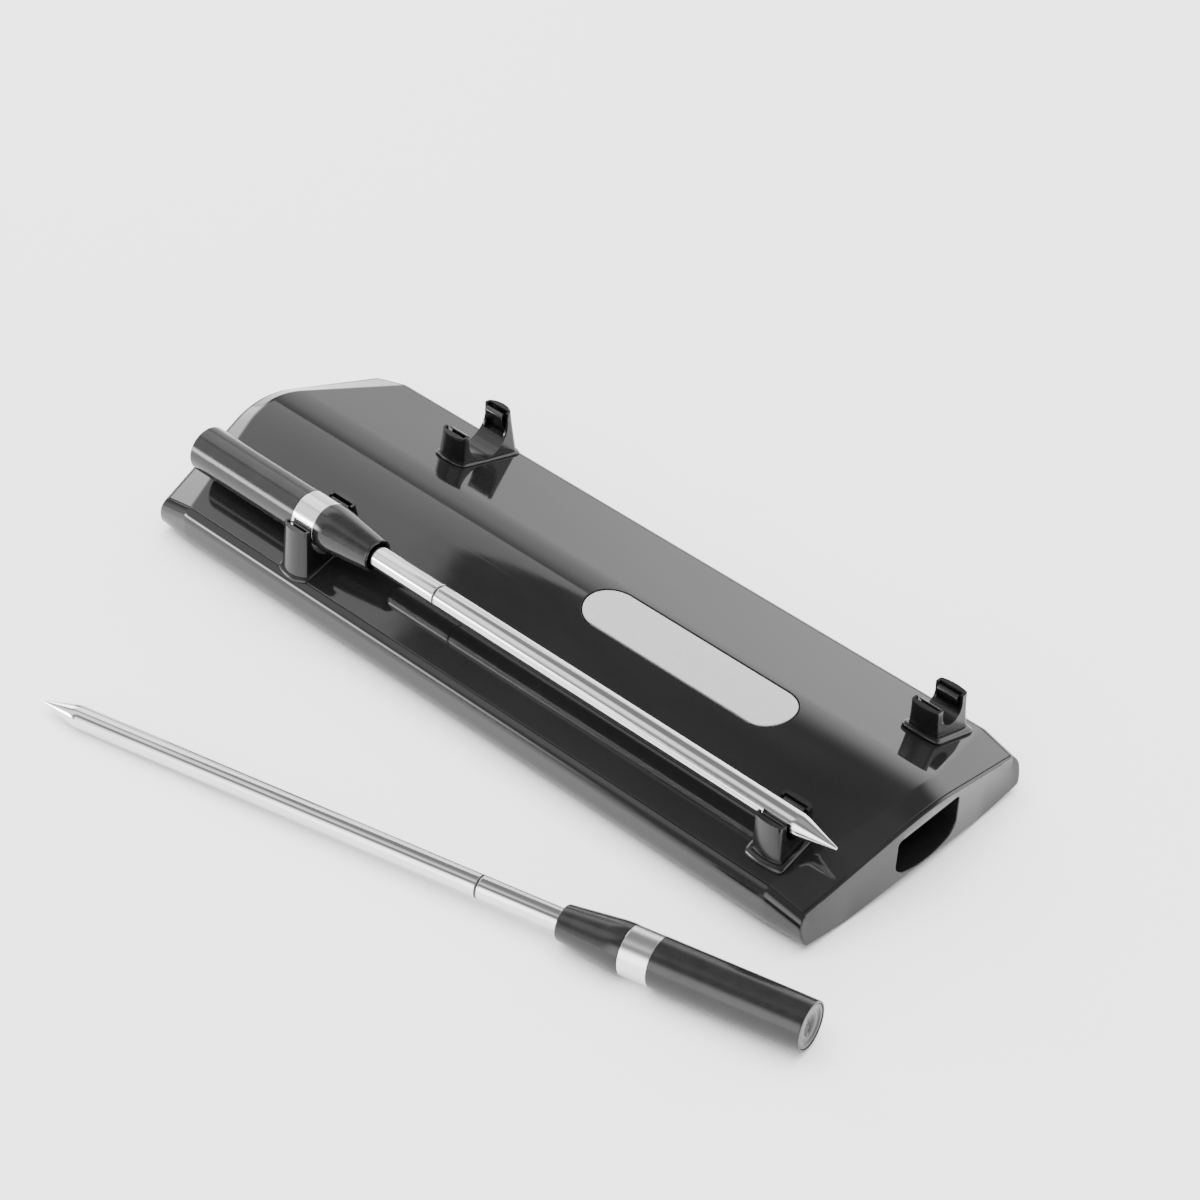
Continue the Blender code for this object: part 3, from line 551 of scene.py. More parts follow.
# ---------------------------------------------------------------- cover
def cover_loop(kind, half_width=COVER_HALF_WIDTH):
    """Closed loop round the cover at a crease or an end: the top from back to front, then the underside."""
    top, bottom = [], []
    for y in roof_samples(half_width):
        if kind == "end":
            place, thick = on_bevel(y, COVER_END_INSET), COVER_LIP
        else:
            place, thick = np.array((crease_x(y), y, roof_height(y))), COVER_THICKNESS
        top.append(place)
        bottom.append(place - np.array((0, 0, thick)))
    corners = [0, len(top) - 1, len(top), 2 * len(top) - 1]
    points = top + bottom[::-1]
    radii = [CORNER_RADIUS if i in corners else 0.0 for i in range(len(points))]
    return np.array([p[0] for p in rounded(points, radii, 3, closed=True)])


def mirrored_x(loop):
    return loop * np.array((-1.0, 1.0, 1.0))


def cover_mesh():
    crease = cover_loop("crease")
    end = cover_loop("end")
    middle = end.copy()
    middle[:, 2] = (end[:, 2] + end[::-1][:, 2]) / 2
    controls = [middle, end, crease]
    controls = [mirrored_x(c) for c in controls] + [c for c in reversed(controls)]
    radii = [0, CORNER_RADIUS, CREASE_RADIUS, CREASE_RADIUS, CORNER_RADIUS, 0]
    return rounded(controls, radii, 6)


def pill_rows(margin, levels, steps=28):
    """Rows of a pill that follows the ridge. Levels are (offset from the roof, extra margin)."""
    straight = (PLATE_LENGTH - PLATE_WIDTH) / 2
    rows = []
    for offset, extra in levels:
        radius = PLATE_WIDTH / 2 + margin + extra
        row = []
        for side in (1, -1):
            for k in range(steps + 1):
                turn = pi * (k / steps - 0.5)
                y = side * radius * sin(turn)
                x = PLATE_CENTRE_X + side * (straight + radius * cos(turn))
                row.append((x, y, roof_height(y) + offset))
        rows.append(row)
    return rows


def top_cover():
    cover = lofted("top_cover_shell", cover_mesh(), FINISH["gloss"], caps=False)
    levels = [(-PLATE_THICKNESS - GAP, 0), (-0.18 * MM, 0), (0.02 * MM, 0.2 * MM), (3 * MM, 0.2 * MM)]
    cut(cover, [lofted("plate_pocket", pill_rows(GAP, levels), FINISH["gloss"])])
    face_weighted(cover)
    settle(cover, "base", ["top_cover"])


def badge_plate():
    """Pill-shaped plate on the ridge with a softly rounded rim."""
    bm = bmesh.new()
    levels = [(-PLATE_THICKNESS, 0), (-0.22 * MM, 0), (-0.12 * MM, -0.03 * MM),
              (-0.04 * MM, -0.1 * MM), (0, -0.22 * MM)]
    rows = pill_rows(0, levels)
    made = add_rows(bm, rows)
    half = len(rows[0]) // 2
    for row in (made[0], made[-1]):
        left, right = row[half:], row[:half][::-1]
        for i in range(half - 1):
            bm.faces.new((left[i], left[i + 1], right[i + 1], right[i]))
    plate = face_weighted(new_object("badge_plate_shell", bm, FINISH["plate"]))
    settle(plate, "base", ["badge_plate"])


# ---------------------------------------------------------------- housing
def housing_loop(kind):
    """Closed loop round the housing: the roof or the sunken seat, the shoulder, side, skirt and bottom.

    The kinds are the crease, two loops under and over the inner edge of the rim, and the end itself.
    """
    sunken = kind in ("crease", "seat")
    rim_inset = COVER_END_INSET - SEAM
    inset = {"crease": None, "seat": rim_inset, "rim": rim_inset, "end": 0.0}[kind]
    sink = COVER_THICKNESS if kind == "crease" else COVER_LIP
    gap_half = COVER_HALF_WIDTH + SEAM

    def roof_point(y):
        if inset is None:
            return np.array((crease_x(y), y, roof_height(y)))
        return on_bevel(y, inset)

    down = np.array((0, 0, sink + GAP if sunken else 0.0))
    seat = [roof_point(y) - down for y in roof_samples(gap_half, 12, 6)]
    rim = [roof_point(gap_half)]
    near, far = housing_flank(False), housing_flank(True)
    flank = []
    for inner, outer in zip(near, far):
        part = 1.0 if inset is None else inset / max(outer[0] - inner[0], 1 * MM)
        flank.append(outer + (inner - outer) * part)
    other = [p * np.array((1, -1, 1)) for p in reversed(rim + flank)]
    points = seat + rim + flank + housing_bottom(inset) + other
    rim_places = (len(seat), len(points) - 1)
    radii = [CORNER_RADIUS if i in rim_places else 0.0 for i in range(len(points))]
    loop = np.array([p[0] for p in rounded(points, radii, 3, closed=True)])
    return loop, len(seat)


def housing_flank(at_end):
    """Shoulder, side and skirt of the back side, at a crease or at an end."""
    narrow = END_NARROWING if at_end else 1.0
    top_x = (end_x if at_end else crease_x)(SHOULDER_START)
    low_x = LOW_END_X if at_end else top_x
    top_z = roof_height(SHOULDER_START) - (END_DROP if at_end else 0.0)
    low_z = UNDERSIDE + CHINE_RISE
    centre_y = HALF_WIDTH - SHOULDER_RADIUS
    centre_z = top_z - SHOULDER_RADIUS * cos(ROOF_ANGLE)
    flank = []
    for rise in np.linspace(radians(64), 0, 9):
        z = centre_z + SHOULDER_RADIUS * sin(rise)
        flank.append(((centre_y + SHOULDER_RADIUS * cos(rise)) * narrow, z))
    for fall in np.linspace(0, pi / 2, 12):
        y = HALF_WIDTH - SKIRT_REACH * (1 - cos(fall))
        flank.append((y * narrow, SKIRT_TOP - (SKIRT_TOP - low_z) * sin(fall)))
    return [np.array((top_x + (low_x - top_x) * (top_z - z) / (top_z - low_z), y, z)) for y, z in flank]


def housing_bottom(inset):
    """Row of places across the bottom, from back to front; no inset means at the crease."""
    half = list(np.linspace(0, FLAT_HALF, 11)) + list(np.linspace(FLAT_HALF, CHINE_HALF, 6))[1:-1]
    row = []
    for y in [*reversed(half), *(-y for y in half[1:])]:
        near = np.array((crease_x(SHOULDER_START), y, underside_height(y)))
        low = np.array((LOW_END_X + LOW_END_BOW * low_bow(y), y * END_NARROWING,
                        underside_height(y) + LOW_END_RISE * low_bow(y)))
        part = 1.0 if inset is None else inset / (low[0] - near[0])
        row.append(low + (near - low) * part)
    return row


def face_x(y, z):
    """The end face: straight lines from its bottom edge up to its top edge."""
    y = float(np.clip(y, -HALF_WIDTH, HALF_WIDTH))
    wide = y / END_NARROWING
    top_z = roof_height(min(abs(wide), SHOULDER_START)) - END_DROP
    low_z = underside_height(min(abs(wide), CHINE_HALF)) + LOW_END_RISE * low_bow(wide)
    top = end_x(min(abs(wide), SHOULDER_START))
    low = LOW_END_X + LOW_END_BOW * low_bow(wide)
    part = (z - low_z) / (top_z - low_z)
    return low + (top - low) * float(np.clip(part, 0, 1))


def recess_outline(grow=0.0):
    """The recess seen along X: straight top with round corners, and a chamfered bottom that sags."""
    half = RECESS_HALF_WIDTH
    arc_half = half - RECESS_CHAMFER
    arc_radius = (arc_half ** 2 + RECESS_SAG ** 2) / (2 * RECESS_SAG)
    half_angle = asin(arc_half / arc_radius)
    arc_centre = RECESS_SIDE_LOW - RECESS_CHAMFER - RECESS_SAG + arc_radius
    corner = [(-half, RECESS_TOP), (half, RECESS_TOP), (half, RECESS_SIDE_LOW)]
    radii = [RECESS_CORNER, RECESS_CORNER, 0.9 * MM]
    arc = [(arc_radius * sin(turn), arc_centre - arc_radius * cos(turn))
           for turn in np.linspace(half_angle, -half_angle, 13)]
    points = corner + arc + [(-half, RECESS_SIDE_LOW)]
    radii += [0.6 * MM] + [0.0] * (len(arc) - 2) + [0.6 * MM] + [0.9 * MM]
    flat = [(y, z, 0.0) for y, z in points]
    outline = [p[0][:2] for p in rounded(flat, radii, 6, closed=True)]
    outline = np.array(outline)
    if grow:
        outline = grown(outline, grow)
    return outline + np.array((RECESS_CENTRE_Y, 0.0))


def grown(outline, distance):
    """A closed clockwise outline moved outwards along its normals."""
    before = np.roll(outline, 1, axis=0)
    after = np.roll(outline, -1, axis=0)
    run = after - before
    run /= np.linalg.norm(run, axis=1, keepdims=True)
    return outline + np.stack([-run[:, 1], run[:, 0]], axis=1) * distance


def filled_patch(bm, outline, holes, spacing, place):
    """Triangles over a flat outline with holes; place turns a flat point into a point on the surface."""
    points, edges = [], []
    for ring in [outline] + holes:
        start = len(points)
        points += [Vector(p) for p in ring]
        edges += [(start + i, start + (i + 1) % len(ring)) for i in range(len(ring))]
    low, high = np.min(outline, axis=0), np.max(outline, axis=0)
    for u in np.arange(low[0] + spacing / 2, high[0], spacing):
        for v in np.arange(low[1] + spacing / 2, high[1], spacing):
            in_hole = any(inside((u, v), hole, -spacing / 3) for hole in holes)
            if inside((u, v), outline, spacing / 3) and not in_hole:
                points.append(Vector((u, v)))
    verts, _, faces, *_ = geometry.delaunay_2d_cdt(points, edges, [], 0, 1e-9)
    made = [bm.verts.new(place(*v)) for v in verts]
    for face in faces:
        middle = sum((verts[i] for i in face), Vector((0, 0))) / len(face)
        if inside(middle, outline, 0) and not any(inside(middle, h, 0) for h in holes):
            bm.faces.new([made[i] for i in face])


def inside(point, ring, margin):
    """Is a point inside a ring, and at least margin from it (or, if negative, inside or that near)?"""
    ring = np.asarray(ring)
    a, b = ring, np.roll(ring, -1, axis=0)
    y, z = point[0], point[1]
    crosses = (a[:, 1] > z) != (b[:, 1] > z)
    slope = np.where(crosses, (z - a[:, 1]) / np.where(crosses, b[:, 1] - a[:, 1], 1), 0)
    within = bool(np.sum(crosses & (y < a[:, 0] + slope * (b[:, 0] - a[:, 0]))) % 2)
    if margin == 0:
        return within
    run = b - a
    part = np.clip(np.sum((np.array([y, z]) - a) * run, axis=1) / np.sum(run * run, axis=1), 0, 1)
    nearest = np.min(np.hypot(*(a + part[:, None] * run - np.array([y, z])).T))
    return (within and nearest > margin) if margin > 0 else (within or nearest < -margin)


def edge_radius(loop, seat_count):
    """How far the end's edge is rounded: tight along the rim and the bottom, softer on the sides."""
    radii = np.full(len(loop), SIDE_EDGE_RADIUS)
    radii[:seat_count + 3] = RIM_EDGE_RADIUS
    radii[-4:] = RIM_EDGE_RADIUS
    rise = np.clip((loop[:, 2] - 1.5 * MM) / (2.5 * MM), 0, 1)
    side = BOTTOM_EDGE_RADIUS + rise * (radii - BOTTOM_EDGE_RADIUS)
    return np.where(radii > BOTTOM_EDGE_RADIUS, side, radii)


def housing():
    crease, seat_count = housing_loop("crease")
    seat, rim, end = (housing_loop(kind)[0] for kind in ("seat", "rim", "end"))
    radii = edge_radius(end, seat_count)
    flat = end[:, 1:]
    inset = grown(flat, -1.0)
    inset = flat + (inset - flat) * radii[:, None]
    turned_in = np.array([(face_x(y, z), y, z) for y, z in inset])
    bm = bmesh.new()
    half = [turned_in, end, rim, seat, crease]
    controls = [mirrored_x(loop) for loop in half] + half[::-1]
    blend = [0, radii, 0.12 * MM, 0, CREASE_RADIUS]
    add_rows(bm, rounded(controls, blend + blend[::-1], 5))
    filled_patch(bm, inset, [], FACE_SPACING, lambda y, z: (-face_x(y, z), y, z))
    mouth = recess_outline(MOUTH_RADIUS)
    filled_patch(bm, inset, [mouth], FACE_SPACING, lambda y, z: (face_x(y, z), y, z))
    recess_rows(bm, mouth)
    shell = new_object("lower_housing_shell", bm, FINISH["gloss"])
    cut(shell, underside_tools())
    face_weighted(shell)
    settle(shell, "base", ["lower_housing"])


def recess_rows(bm, mouth):
    """Rounded mouth, walls and back of the recess, with the slot that the socket stands in."""
    edge = recess_outline()
    outer = np.array([(face_x(y, z), y, z) for y, z in mouth])
    corner = np.array([(face_x(y, z), y, z) for y, z in edge])
    deep = np.array([(RECESS_BACK_X, y, z) for y, z in edge])
    add_rows(bm, rounded([outer, corner, deep], [0, MOUTH_RADIUS, 0], 5))
    slot = slot_outline(GAP)
    filled_patch(bm, edge, [slot], BACK_SPACING, lambda y, z: (RECESS_BACK_X, y, z))
    slot_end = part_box("usb_receptacle")[0].x - GAP
    add_rows(bm, [[(x, y, z) for y, z in slot] for x in (RECESS_BACK_X, slot_end)])
    filled_patch(bm, slot, [], BACK_SPACING, lambda y, z: (slot_end, y, z))


def slot_outline(grow, corner=1.1 * MM):
    low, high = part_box("usb_receptacle")
    points = [(low.y - grow, high.z + grow, 0), (high.y + grow, high.z + grow, 0),
              (high.y + grow, low.z - grow, 0), (low.y - grow, low.z - grow, 0)]
    return np.array([p[:2] for p in rounded_outline(points, [corner + grow] * 4, 5)])


def underside_tools():
    """Cutters for the pad's pocket and the screws' holes."""
    low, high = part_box("anti_slip_pad")
    pocket = []
    for z in (CUTTER_LOW, high.z + GAP):
        corners = [(low.x - GAP, low.y - GAP, z), (high.x + GAP, low.y - GAP, z),
                   (high.x + GAP, high.y + GAP, z), (low.x - GAP, high.y + GAP, z)]
        pocket.append(rounded_outline(corners, [PAD_CORNER] * 4, 6))
    tools = [lofted("pad_pocket", pocket, FINISH["gloss"])]
    for number in range(1, 5):
        low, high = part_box(f"case_screw_{number}")
        centre = (low + high) / 2
        radius = (high.x - low.x) / 2 + GAP
        angles = np.linspace(0, 2 * pi, 49)[:-1]
        ring = [(centre.x + radius * cos(a), centre.y + radius * sin(a)) for a in angles]
        rows = [[(x, y, z) for x, y in ring] for z in (CUTTER_LOW, low.z + SCREW_HEAD)]
        tools.append(lofted("screw_hole", rows, FINISH["gloss"]))
    return tools


# ---------------------------------------------------------------- clips
class ClipSize:
    """Dimensions of one kind of clip, from the axis of the probe that lies in it."""

    def __init__(self, **values):
        self.__dict__.update(values)


HANDLE_CLIP = ClipSize(
    bore=5.8 * MM, bore_lift=-0.4 * MM, top=1.9 * MM, half_x=3.45 * MM, half_x_foot=3.85 * MM,
    side_y=6.95 * MM, bulge=1.1 * MM, flare=1.05 * MM, flare_curve=1.15, shoulder=-3.9 * MM,
    flange=0.6 * MM, flange_height=0.7 * MM, corner=0.75 * MM, edge=0.16 * MM, pocket_depth=0.95 * MM,
    crest_height=0.9 * MM, grip_held=HANDLE_RADIUS + 0.08 * MM, grip_free=4.8 * MM)
TIP_CLIP = ClipSize(
    bore=3.0 * MM, bore_lift=-0.6 * MM, top=1.4 * MM, half_x=3.45 * MM, half_x_foot=3.8 * MM,
    side_y=4.55 * MM, bulge=0.5 * MM, flare=0.2 * MM, flare_curve=2.2, shoulder=-2.3 * MM,
    flange=1.05 * MM, flange_height=1.15 * MM, corner=0.7 * MM, edge=0.16 * MM, pocket_depth=0.8 * MM,
    crest_height=0.5 * MM, grip_held=SHAFT_RADIUS + 0.08 * MM, grip_free=2.25 * MM)
POCKET_WALL = 0.6 * MM
CLEAR_ABOVE = 3 * MM
BULGE_PART = 0.64
LEAF_THICKNESS = 0.3 * MM


def roof_offset(y):
    return roof_height(DOCK_Y) - DOCK_HEIGHT + y * tan(ROOF_ANGLE)


def clip_outline(half_x, side_y, bulge, corner):
    """Plan outline of a clip with bulging outer faces and rounded corners."""
    front = []
    for part in [-1, *np.linspace(-BULGE_PART, BULGE_PART, 9), 1]:
        front.append((half_x * part, -side_y - bulge * (1 - part * part), 0.0))
    points = front + [(-x, -y, 0.0) for x, y, _ in front]
    corners = (0, len(front) - 1, len(front), len(points) - 1)
    radii = [corner if i in corners else 0.0 for i in range(len(points))]
    return [p[:2] for p in rounded_outline(points, radii, 6)]


def clip_arms(size):
    """The block that the two arms are cut from, wider at its foot."""
    rows = []
    foot = clip_outline(size.half_x_foot, size.side_y + size.flare, size.bulge, size.corner)
    head = clip_outline(size.half_x, size.side_y, size.bulge, size.corner)
    for t in np.linspace(0, 1, 9):
        ease = (1 - t) ** size.flare_curve
        rows.append([(hx + (fx - hx) * ease, hy + (fy - hy) * ease,
                      (roof_offset(fy) + size.flange_height * 0.4) * (1 - t) + size.top * t)
                     for (fx, fy), (hx, hy) in zip(foot, head)])
    return lofted("clip_arms", rows, FINISH["clip"])


def clip_flange(size):
    """Plump collar round the foot. It follows the slope of the roof and is highest at the arms."""
    reach, tall = size.flange, size.flange_height
    profile = [(0.5, 0.06 * MM), (0.97, 0.06 * MM)]
    for turn in np.linspace(0, pi / 2, 10):
        profile.append((0.1 + 0.9 * cos(turn), tall * (0.28 + 0.72 * sin(turn))))
    profile += [(-0.05, 0.93 * tall), (-0.35, 0.9 * tall)]
    rows = []
    for grow, lift in profile:
        outline = clip_outline(size.half_x_foot + reach * grow, size.side_y + size.flare + reach * grow,
                               size.bulge, size.corner + max(grow, 0) * reach)
        rows.append([(x, y, roof_offset(y) + lift) for x, y in outline])
    return lofted("clip_flange", rows, FINISH["clip"])


def bore_tool(size, reach):
    """Upright U through the clip: a round bottom and straight walls, open at the top."""
    points = [(size.bore * cos(a), size.bore_lift + size.bore * sin(a)) for a in np.linspace(-pi, 0, 49)]
    over = size.top + CLEAR_ABOVE
    points = [(-size.bore, over)] + points + [(size.bore, over)]
    rows = [[(x, y, z) for y, z in points] for x in (-reach, reach)]
    return lofted("bore_tool", rows, FINISH["clip"])


def pocket_tool(size):
    half = size.half_x - POCKET_WALL
    back = size.bore + size.pocket_depth
    low, high = (-half, -back, size.shoulder), (half, back, size.top + CLEAR_ABOVE)
    return box_object("pocket_tool", low, high, FINISH["clip"])


def make_clip(name, size, x, y, turn):
    arms = clip_arms(size)
    reach = size.half_x_foot + size.flange + 2 * MM
    join = arms.modifiers.new("join", "BOOLEAN")
    join.operation = "UNION"
    join.solver = "EXACT"
    flange = clip_flange(size)
    join.object = flange
    apply_modifiers(arms)
    bpy.data.objects.remove(flange, do_unlink=True)
    cut(arms, [bore_tool(size, reach), pocket_tool(size)])
    soften_edges(arms, size.edge)
    arms.name = name + "_shell"
    arms.matrix_world = Matrix.Translation((x, y, DOCK_HEIGHT)) @ Matrix.Rotation(turn, 4, "Z")
    face_weighted(arms)
    settle(arms, "base", [name])


def leaf_line(size, grip):
    """Middle line of a leaf spring in the clip's y, z plane."""
    high = size.crest_height
    crest = sqrt(grip ** 2 - high ** 2)
    root = (size.bore + size.pocket_depth - 0.45 * MM, size.shoulder + 0.25 * MM)
    return [root, (crest + 0.08 * MM, high - 0.1 * MM), (crest + 0.12 * MM, high + 0.15 * MM),
            (crest + 0.8 * MM, size.top - 0.3 * MM)]


def make_leaf(node, size, clip_x, clip_y, side, grip):
    """Bent strip: it leans in from its root to the crest that touches the probe, then back out."""
    line = leaf_line(size, grip)
    middle = [p[0] for p in rounded([(0, y, z) for y, z in line], [0, 0.25 * MM, 0.2 * MM, 0], 6)]
    half = size.half_x - POCKET_WALL - GAP
    rows = []
    for i, here in enumerate(middle):
        run = middle[min(i + 1, len(middle) - 1)] - middle[max(i - 1, 0)]
        run /= np.linalg.norm(run)
        normal = np.array((0, run[2], -run[1])) * LEAF_THICKNESS / 2
        inner, outer = (here + normal)[1:], (here - normal)[1:]
        section = [(-half, *inner), (half, *inner), (half, *outer), (-half, *outer)]
        rows.append(rounded_outline(section, [0.1 * MM] * 4, 3))
    leaf = lofted(node + "_leaf", rows, FINISH["spring"])
    turn = 0.0 if side > 0 else pi
    leaf.matrix_world = Matrix.Translation((clip_x, clip_y, DOCK_HEIGHT)) @ Matrix.Rotation(turn, 4, "Z")
    face_weighted(leaf)
    settle(leaf, node + "_leaf", [node])


def clips():
    for kind, size, x in (("handle", HANDLE_CLIP, HANDLE_CLIP_X), ("tip", TIP_CLIP, TIP_CLIP_X)):
        for row, y, turn in (("front", -DOCK_Y, 0.0), ("rear", DOCK_Y, pi)):
            make_clip(f"{kind}_clip_{row}", size, x, y, turn)
            grip = size.grip_held if row == "front" else size.grip_free
            inner = 1 if row == "front" else -1
            make_leaf(f"{kind}_spring_{row}_inner", size, x, y, inner, grip)
            make_leaf(f"{kind}_spring_{row}_outer", size, x, y, -inner, grip)


# ---------------------------------------------------------------- probes
def shaft_outline():
    nose = 0.28 * MM
    points = [(0, 0), (0, nose), (POINT_LENGTH, SHAFT_RADIUS), (JOINT_AT, SHAFT_RADIUS),
              (JOINT_AT, SHAFT_BORE), (JOINT_AT - 30 * MM, SHAFT_BORE)]
    return points, [0, nose, 1.1 * MM, 0.12 * MM, 0, 0]


def cone_outline():
    mouth, bush = 3.05 * MM, 3.45 * MM
    end = BAND_AT - 0.05 * MM
    points = [(LIP_AT, mouth), (LIP_AT, LIP_RADIUS), (BAND_AT - 2.3 * MM, HANDLE_RADIUS),
              (end, HANDLE_RADIUS), (end, bush), (LIP_AT + 3 * MM, bush), (LIP_AT + 3 * MM, mouth)]
    return points, [0.12 * MM, 0.3 * MM, 1.6 * MM, 0.06 * MM, 0, 0, 0]


def handle_outline():
    start = HANDLE_AT + 0.05 * MM
    seat = PROBE_LENGTH - 2.9 * MM
    mouth, bore = 4.6 * MM, 4.0 * MM
    points = [(start, HANDLE_RADIUS), (PROBE_LENGTH, HANDLE_RADIUS), (PROBE_LENGTH, mouth),
              (seat, mouth), (seat, bore), (start, bore)]
    return points, [0.06 * MM, 0.35 * MM, 0.1 * MM, 0, 0, 0]


def cap_outline():
    flange, plug = 4.5 * MM, 3.9 * MM
    seat = PROBE_LENGTH - 2.8 * MM
    face = PROBE_LENGTH - 0.12 * MM
    dish = face - 0.28 * MM
    points = [(seat - 5 * MM, 0), (seat - 5 * MM, plug), (seat, plug), (seat, flange), (face, flange),
              (face, flange - 0.7 * MM), (dish, flange - 1.3 * MM), (dish, 0)]
    return points, [0, 0.3 * MM, 0, 0, 0.12 * MM, 0.25 * MM, 0.5 * MM, 0]


def sleeve_outline():
    start, end = JOINT_AT + JOINT_WIDTH, BAND_AT - 2.0 * MM
    points = [(start, SHAFT_BORE), (start, SHAFT_RADIUS), (end, SHAFT_RADIUS), (end, SHAFT_BORE)]
    return points, [0, 0.12 * MM, 0, 0]


def band_outline():
    bore = 4.3 * MM
    points = [(BAND_AT, bore), (BAND_AT, HANDLE_RADIUS), (HANDLE_AT, HANDLE_RADIUS), (HANDLE_AT, bore)]
    return points, [0, 0.14 * MM, 0.14 * MM, 0]


def cap_slot():
    """Cutter for the short curved slot in the end cap."""
    radius, half_angle, half_width = 2.4 * MM, radians(34), 0.24 * MM
    outline = []
    for side in (1, -1):
        for turn in np.linspace(-side * half_angle, side * half_angle, 17):
            reach = radius + side * half_width
            outline.append((reach * cos(turn) - radius, reach * sin(turn)))
    rows = [[(x, y, z) for y, z in outline] for x in (PROBE_LENGTH - 1.1 * MM, PROBE_LENGTH + MM)]
    return lofted("cap_slot", rows, FINISH["handle"])


def make_probe(prefix, place):
    body = prefix + "_probe"
    pieces = [("shaft", shaft_outline(), "steel", False), ("nose_cone", cone_outline(), "handle", True),
              ("handle", handle_outline(), "handle", True), ("end_cap", cap_outline(), "handle", False),
              ("sleeve", sleeve_outline(), "steel", True), ("contact_band", band_outline(), "band", True)]
    for name, (outline, radii), finish, closed in pieces:
        piece = turned(f"{prefix}_{name}_shell", outline, radii, FINISH[finish], closed=closed)
        if name == "end_cap":
            cut(piece, [cap_slot()])
        piece.matrix_world = place
        face_weighted(piece)
        settle(piece, body, [f"{prefix}_{name}"])


def probes():
    docked = Matrix.Translation(DOCKED_TIP) @ Matrix.Rotation(pi, 4, "Z")
    loose = (Matrix.Translation(LOOSE_TIP) @ Matrix.Rotation(LOOSE_YAW, 4, "Z")
             @ Matrix.Rotation(-LOOSE_TILT, 4, "Y"))
    make_probe("docked", docked)
    make_probe("loose", loose)


# ---------------------------------------------------------------- CAD pieces that keep their shape
def paint_frame():
    """Give the CAD pieces that stay their procedural finishes."""
    finishes = [("board", "board"), ("antenna", "board"), ("cell", "cell"), ("foam", "rubber"),
                ("pad", "rubber"), ("screw", "zinc"), ("receptacle", "zinc"), ("tongue", "insert"),
                ("joint_ring", "insert"), ("bush", "insert"), ("carrier", "insert"),
                ("sensor", "copper"), ("sensor_board", "board")]
    for name, item in frame["nodes"].items():
        for word, finish in finishes:
            if word in name:
                item.data.materials.clear()
                item.data.materials.append(FINISH[finish])


# ---------------------------------------------------------------- studio
CAMERA_PLACE = Vector((386.43, -388.89, 463.48)) * MM
CAMERA_AZIMUTH = radians(44.19)
CAMERA_ELEVATION = radians(39.32)
CAMERA_LENS = 103.6


def studio_floor():
    bm = bmesh.new()
    bmesh.ops.create_circle(bm, cap_ends=True, radius=6.0, segments=96)
    floor = new_object("studio_floor", bm, floor_white())
    floor.location.z = -0.05 * MM


def camera():
    made = bpy.data.cameras.new("camera")
    made.sensor_width = 36.0
    made.lens = CAMERA_LENS
    made.clip_start = 0.01
    item = bpy.data.objects.new("camera", made)
    bpy.context.scene.collection.objects.link(item)
    across = Vector((cos(CAMERA_AZIMUTH), sin(CAMERA_AZIMUTH), 0))
    level = cos(CAMERA_ELEVATION)
    back = Vector((sin(CAMERA_AZIMUTH) * level, -cos(CAMERA_AZIMUTH) * level, sin(CAMERA_ELEVATION)))
    up = back.cross(across)
    turn = Matrix((across, up, back)).transposed().to_4x4()
    item.matrix_world = Matrix.Translation(CAMERA_PLACE) @ turn
    bpy.context.scene.camera = item


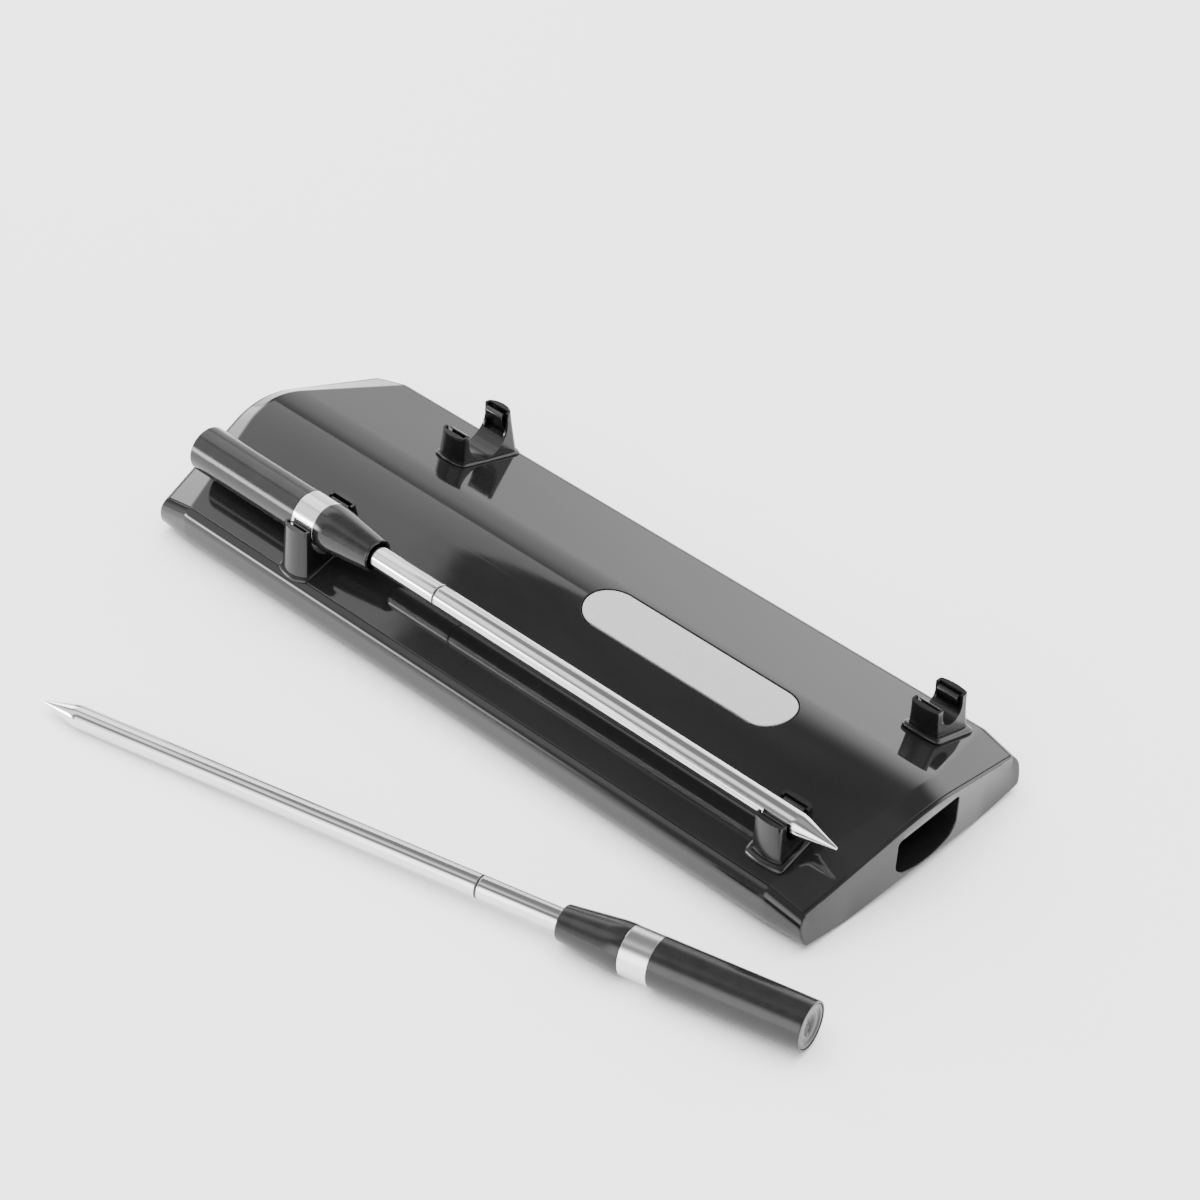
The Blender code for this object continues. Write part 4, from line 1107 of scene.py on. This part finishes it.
class Sky:
    """Studio surroundings: a sum of soft-edged patches, given by elevation and by turn from -X."""

    def __init__(self):
        made = bpy.data.worlds.new("studio")
        made.use_nodes = True
        self.tree = made.node_tree
        coordinates = self.tree.nodes.new("ShaderNodeTexCoord")
        split = self.tree.nodes.new("ShaderNodeSeparateXYZ")
        self.tree.links.new(coordinates.outputs["Generated"], split.inputs[0])
        self.rise = self.math("ARCSINE", split.outputs["Z"])
        self.turn = self.math("ARCTAN2", self.math("MULTIPLY", split.outputs["Y"], -1.0),
                              self.math("MULTIPLY", split.outputs["X"], -1.0))
        bpy.context.scene.world = made

    def math(self, operation, a, b=None):
        node = self.tree.nodes.new("ShaderNodeMath")
        node.operation = operation
        for slot, value in ((0, a), (1, b)):
            if isinstance(value, (int, float)):
                node.inputs[slot].default_value = value
            elif value is not None:
                self.tree.links.new(value, node.inputs[slot])
        return node.outputs[0]

    def step(self, value, low, high):
        """Smooth rise from 0 to 1 between two angles in degrees; swapped angles make it fall."""
        node = self.tree.nodes.new("ShaderNodeMapRange")
        node.interpolation_type = "SMOOTHSTEP"
        falls = high < low
        node.inputs["From Min"].default_value = radians(min(low, high))
        node.inputs["From Max"].default_value = radians(max(low, high))
        node.inputs["To Min"].default_value = 1.0 if falls else 0.0
        node.inputs["To Max"].default_value = 0.0 if falls else 1.0
        self.tree.links.new(value, node.inputs["Value"])
        return node.outputs["Result"]

    def patch(self, level, *steps):
        """A patch is the product of its steps, times its level."""
        product = steps[0]
        for step in steps[1:]:
            product = self.math("MULTIPLY", product, step)
        return self.math("MULTIPLY", product, level)

    def finish(self, base, patches):
        total = base
        for patch in patches:
            total = self.math("ADD", patch, total)
        background = self.tree.nodes["Background"]
        background.inputs["Color"].default_value = (1.0, 1.0, 1.0, 1.0)
        self.tree.links.new(total, background.inputs["Strength"])


def world():
    """Dim studio with soft bright walls at the back, left and front, and a low strip light."""
    sky = Sky()
    step, rise, turn = sky.step, sky.rise, sky.turn
    patches = [
        sky.patch(1.6, step(rise, 45, 28), step(turn, -34, -48)),
        sky.patch(1.6, step(rise, 40, 22), step(turn, -50, -66)),
        sky.patch(7.0, step(rise, 40, 26), step(turn, 6, -6), step(turn, -32, -20)),
        sky.patch(4.6, step(rise, 46, 24), step(turn, 60, 76), step(turn, 150, 110)),
        sky.patch(1.5, step(rise, 72, 50), step(turn, 6, 26), step(turn, 57, 45)),
        sky.patch(24.0, step(rise, 16, 9), step(turn, 32, 40), step(turn, 60, 50)),
        sky.patch(0.2, step(rise, 60, 76)),
    ]
    sky.finish(0.3, patches)


def area_light(name, place, target, width, height, power, in_mirrors=True):
    made = bpy.data.lights.new(name, "AREA")
    made.shape = "RECTANGLE"
    made.size, made.size_y = width, height
    made.energy = power
    item = bpy.data.objects.new(name, made)
    bpy.context.scene.collection.objects.link(item)
    item.location = place
    item.rotation_euler = (Vector(target) - Vector(place)).to_track_quat("-Z", "Y").to_euler()
    item.visible_glossy = in_mirrors
    item.visible_camera = False


def lights():
    area_light("floor_wash", (0, 0, 2.2), (0, 0, 0), 3.0, 3.0, 185, in_mirrors=False)
    area_light("left_softbox", (-0.553, 0.14, 0.44), (-0.553, 0.14, 0), 0.46, 0.44, 1.5)


top_cover()
badge_plate()
housing()
clips()
probes()
paint_frame()
studio_floor()
camera()
world()
lights()
